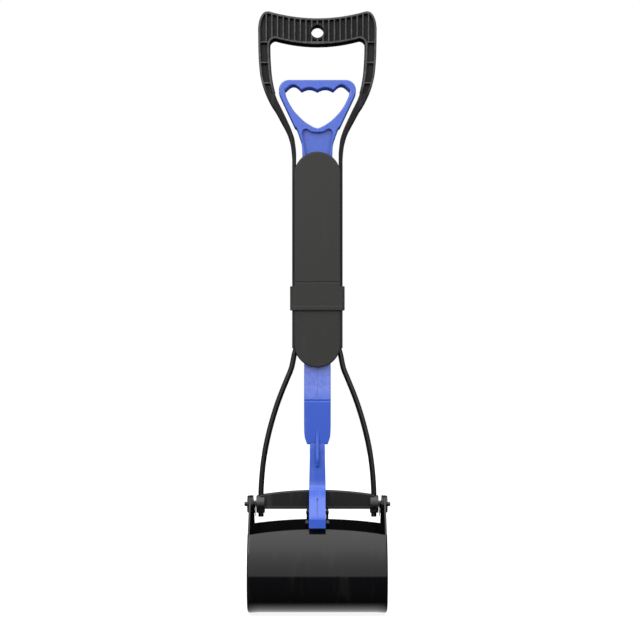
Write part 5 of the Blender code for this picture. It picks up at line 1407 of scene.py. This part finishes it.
# How much of the studio behind the object is dark in reflections, by the direction's Y
SCREEN_Y = (-0.05, 0.45)
SCREEN_SHARE = 0.94

# Brightness of the studio as it lights matt surfaces, by the direction's Z, and how it falls to the sides
EVEN_LEVEL = 2.0
EVEN_LOW = 0.02
EVEN_FOOT = (-0.12, -0.05)
EVEN_SIDES = (0.45, 0.9)
EVEN_SIDE_SHARE = 0.15


def make_floor(stage):
    """Make the pale floor, which looks white to the camera and keeps a faint shadow."""
    work = bmesh.new()
    bmesh.ops.create_circle(work, cap_ends=True, segments=96, radius=stage.floor_radius)
    floor = placed("floor", mesh_of("floor", work))
    made = bpy.data.materials.new("pale_floor")
    made.use_nodes = True
    tree = made.node_tree
    tree.nodes.clear()
    path = tree.nodes.new("ShaderNodeLightPath").outputs
    place = parts(tree, tree.nodes.new("ShaderNodeTexCoord").outputs["Object"])
    masks = [ranged(tree, maths(tree, "ABSOLUTE", place[label]), near, far, 1.0, 0.0,
                    interpolation_type="SMOOTHSTEP") for label, near, far in GLOW_FADES]
    strong = maths(tree, "MULTIPLY", maths(tree, "MULTIPLY", *masks), GLOW)
    glossy = maths(tree, "MULTIPLY", path["Is Glossy Ray"], strong)
    camera = maths(tree, "MULTIPLY", path["Is Camera Ray"], FLOOR_WHITE)
    glow = maths(tree, "MAXIMUM", camera, glossy)
    grey = ranged(tree, path["Is Glossy Ray"], 0.0, 1.0, FLOOR_GREY, 0.0)
    matte = add_node(tree, "ShaderNodeBsdfDiffuse", (("Color", grey),))
    light = add_node(tree, "ShaderNodeEmission", (("Strength", glow),))
    both = add_node(tree, "ShaderNodeAddShader", ((0, matte.outputs[0]), (1, light.outputs[0])))
    end = tree.nodes.new("ShaderNodeOutputMaterial")
    tree.links.new(both.outputs[0], end.inputs["Surface"])
    floor.data.materials.append(made)


def sky_ramp(tree, height):
    """Return the studio's brightness in reflections by the direction's height, as a colour."""
    ramp = add_node(tree, "ShaderNodeValToRGB", (("Fac", ranged(tree, height, -1.0, 1.0)),))
    elements = ramp.color_ramp.elements
    while len(elements) > 1:
        elements.remove(elements[-1])
    for index, (elevation, level) in enumerate(SKY_LEVELS):
        position = (math.sin(math.radians(elevation)) + 1) / 2
        element = elements[0] if index == 0 else elements.new(position)
        element.position = position
        element.color = (level / SKY_TOP, level / SKY_TOP, level / SKY_TOP, 1.0)
    return ramp.outputs["Color"]


def make_studio():
    """Make the studio around the object: white to the camera, brighter overhead in reflections."""
    world = bpy.data.worlds.new("studio")
    bpy.context.scene.world = world
    world.use_nodes = True
    tree = world.node_tree
    tree.nodes.clear()
    direction = parts(tree, tree.nodes.new("ShaderNodeTexCoord").outputs["Generated"])
    path = tree.nodes.new("ShaderNodeLightPath").outputs
    aside = maths(tree, "ABSOLUTE", direction["X"])
    dimmed = ranged(tree, aside, *SKY_SIDES, SKY_TOP, SKY_SIDE_SHARE * SKY_TOP)
    behind = ranged(tree, direction["Y"], *SCREEN_Y, to_high=SCREEN_SHARE)
    screened = maths(tree, "MULTIPLY", behind, path["Is Glossy Ray"])
    strength = maths(tree, "MULTIPLY", dimmed, maths(tree, "SUBTRACT", 1.0, screened))
    reflected = add_node(tree, "ShaderNodeBackground", (
        ("Color", sky_ramp(tree, direction["Z"])), ("Strength", strength)))
    even = ranged(tree, direction["Z"], *EVEN_FOOT, EVEN_LOW, EVEN_LEVEL)
    level = maths(tree, "MULTIPLY", even, ranged(tree, aside, *EVEN_SIDES, 1.0, EVEN_SIDE_SHARE))
    lit = add_node(tree, "ShaderNodeBackground", (("Strength", level),))
    around = add_node(tree, "ShaderNodeMixShader", (
        (0, path["Is Diffuse Ray"]), (1, reflected.outputs[0]), (2, lit.outputs[0])))
    white = add_node(tree, "ShaderNodeBackground", (("Color", (1.0, 1.0, 1.0, 1.0)), ("Strength", 1.0)))
    seen = maths(tree, "MAXIMUM", path["Is Camera Ray"], path["Is Transmission Ray"])
    mix = add_node(tree, "ShaderNodeMixShader", ((0, seen), (1, around.outputs[0]), (2, white.outputs[0])))
    end = tree.nodes.new("ShaderNodeOutputWorld")
    tree.links.new(mix.outputs[0], end.inputs["Surface"])


def add_light(name, azimuth, elevation, distance, size, power, shines=True):
    """Add a soft square light that faces the middle of the object; azimuth 0 is in front."""
    data = bpy.data.lights.new(name, "AREA")
    data.size = size
    data.energy = power
    light = placed(name, data)
    turn, rise = math.radians(azimuth), math.radians(elevation)
    outward = Vector((math.sin(turn) * math.cos(rise), -math.cos(turn) * math.cos(rise), math.sin(rise)))
    light.location = Vector((0, 0, FOLD_Z)) + outward * distance
    light.rotation_euler = outward.to_track_quat("Z", "Y").to_euler()
    light.visible_glossy = shines


def make_stage(stage):
    """Make the camera, the floor, the studio and its lights."""
    scene = bpy.context.scene
    scene.view_settings.view_transform = "Standard"
    lens = bpy.data.cameras.new("camera")
    lens.lens = LENS
    lens.sensor_width = SENSOR
    camera = placed("camera", lens)
    camera.location = (CAMERA_X, -stage.camera_distance, stage.camera_height)
    camera.rotation_euler = Euler((math.pi / 2, 0, 0))
    scene.camera = camera
    make_floor(stage)
    make_studio()
    add_light("key", azimuth=-30, elevation=32, distance=1.2, size=0.55, power=stage.key_power)
    add_light("fill", azimuth=38, elevation=18, distance=1.3, size=0.60, power=stage.fill_power,
              shines=False)


# Operators

class SCOOPER_OT_upper_frame(bpy.types.Operator):
    """Make the ribbed D-grip with its arms and the upper housing"""
    bl_idname = "scooper.upper_frame"
    bl_label = "Upper frame"

    def execute(self, context):
        make_upper_frame(context.scene.scooper_sizes, context.scene.scooper_finish)
        return {"FINISHED"}


class SCOOPER_OT_lower_housing(bpy.types.Operator):
    """Make the lower housing, which holds the side rods"""
    bl_idname = "scooper.lower_housing"
    bl_label = "Lower housing"

    def execute(self, context):
        make_lower_housing(context.scene.scooper_sizes, context.scene.scooper_finish)
        return {"FINISHED"}


class SCOOPER_OT_covers(bpy.types.Operator):
    """Make the two front covers"""
    bl_idname = "scooper.covers"
    bl_label = "Covers"

    def execute(self, context):
        make_covers(context.scene.scooper_sizes, context.scene.scooper_finish)
        return {"FINISHED"}


class SCOOPER_OT_lock_band(bpy.types.Operator):
    """Make the sliding band that locks the fold"""
    bl_idname = "scooper.lock_band"
    bl_label = "Lock band"

    def execute(self, context):
        make_lock_band(context.scene.scooper_sizes, context.scene.scooper_finish)
        return {"FINISHED"}


class SCOOPER_OT_pull_handle(bpy.types.Operator):
    """Make the blue pull handle"""
    bl_idname = "scooper.pull_handle"
    bl_label = "Pull handle"

    def execute(self, context):
        make_pull_handle(context.scene.scooper_sizes, context.scene.scooper_finish)
        return {"FINISHED"}


class SCOOPER_OT_pull_rod(bpy.types.Operator):
    """Make the forked blue rod"""
    bl_idname = "scooper.pull_rod"
    bl_label = "Pull rod"

    def execute(self, context):
        make_pull_rod(context.scene.scooper_sizes, context.scene.scooper_finish)
        return {"FINISHED"}


class SCOOPER_OT_side_rods(bpy.types.Operator):
    """Make the two bent side rods"""
    bl_idname = "scooper.side_rods"
    bl_label = "Side rods"

    def execute(self, context):
        make_side_rods(context.scene.scooper_finish)
        return {"FINISHED"}


class SCOOPER_OT_spreader_bar(bpy.types.Operator):
    """Make the spreader bar with its drums and hubs"""
    bl_idname = "scooper.spreader_bar"
    bl_label = "Spreader bar"

    def execute(self, context):
        make_spreader_bar(context.scene.scooper_sizes, context.scene.scooper_finish)
        return {"FINISHED"}


class SCOOPER_OT_jaws(bpy.types.Operator):
    """Make the two glossy jaws"""
    bl_idname = "scooper.jaws"
    bl_label = "Jaws"

    def execute(self, context):
        make_jaws(context.scene.scooper_finish)
        return {"FINISHED"}


class SCOOPER_OT_springs(bpy.types.Operator):
    """Make the torsion springs around the hubs"""
    bl_idname = "scooper.springs"
    bl_label = "Springs"

    def execute(self, context):
        make_springs(context.scene.scooper_finish)
        return {"FINISHED"}


class SCOOPER_OT_screws(bpy.types.Operator):
    """Make the screws and washers, and give the pins their steel"""
    bl_idname = "scooper.screws"
    bl_label = "Screws, washers and pins"

    def execute(self, context):
        steel = dark_steel(context.scene.scooper_finish)
        make_housing_screws(steel)
        make_pivot_screws(steel)
        finish_pins(steel)
        return {"FINISHED"}


class SCOOPER_OT_stage(bpy.types.Operator):
    """Make the camera, the pale floor and the studio light"""
    bl_idname = "scooper.stage"
    bl_label = "Stage"

    def execute(self, context):
        make_stage(context.scene.scooper_stage)
        return {"FINISHED"}


OPERATORS = (
    SCOOPER_OT_stage, SCOOPER_OT_upper_frame, SCOOPER_OT_lower_housing, SCOOPER_OT_covers,
    SCOOPER_OT_lock_band, SCOOPER_OT_pull_handle, SCOOPER_OT_pull_rod, SCOOPER_OT_side_rods,
    SCOOPER_OT_spreader_bar, SCOOPER_OT_jaws, SCOOPER_OT_springs, SCOOPER_OT_screws,
)
SETTINGS = (("scooper_sizes", ScooperSizes), ("scooper_finish", ScooperFinish),
            ("scooper_stage", ScooperStage))


class SCOOPER_PT_panel(bpy.types.Panel):
    """Lists the scooper's pieces and settings"""
    bl_label = "Scooper"
    bl_idname = "SCOOPER_PT_panel"
    bl_space_type = "VIEW_3D"
    bl_region_type = "UI"
    bl_category = "Scooper"

    def draw(self, context):
        for operator in OPERATORS:
            self.layout.operator(operator.bl_idname)
        for name, kind in SETTINGS:
            group = self.layout.box()
            for setting in kind.__annotations__:
                group.prop(getattr(context.scene, name), setting)


def register():
    """Register the settings, the operators and the panel."""
    for name, kind in SETTINGS:
        bpy.utils.register_class(kind)
        setattr(bpy.types.Scene, name, PointerProperty(type=kind))
    for kind in (*OPERATORS, SCOOPER_PT_panel):
        bpy.utils.register_class(kind)


def unregister():
    """Take everything back out."""
    for kind in (SCOOPER_PT_panel, *reversed(OPERATORS)):
        bpy.utils.unregister_class(kind)
    for name, kind in reversed(SETTINGS):
        delattr(bpy.types.Scene, name)
        bpy.utils.unregister_class(kind)


def main():
    """Build the stage and every piece."""
    register()
    for operator in OPERATORS:
        getattr(bpy.ops.scooper, operator.bl_idname.split(".")[1])()


if __name__ == "__main__":
    main()
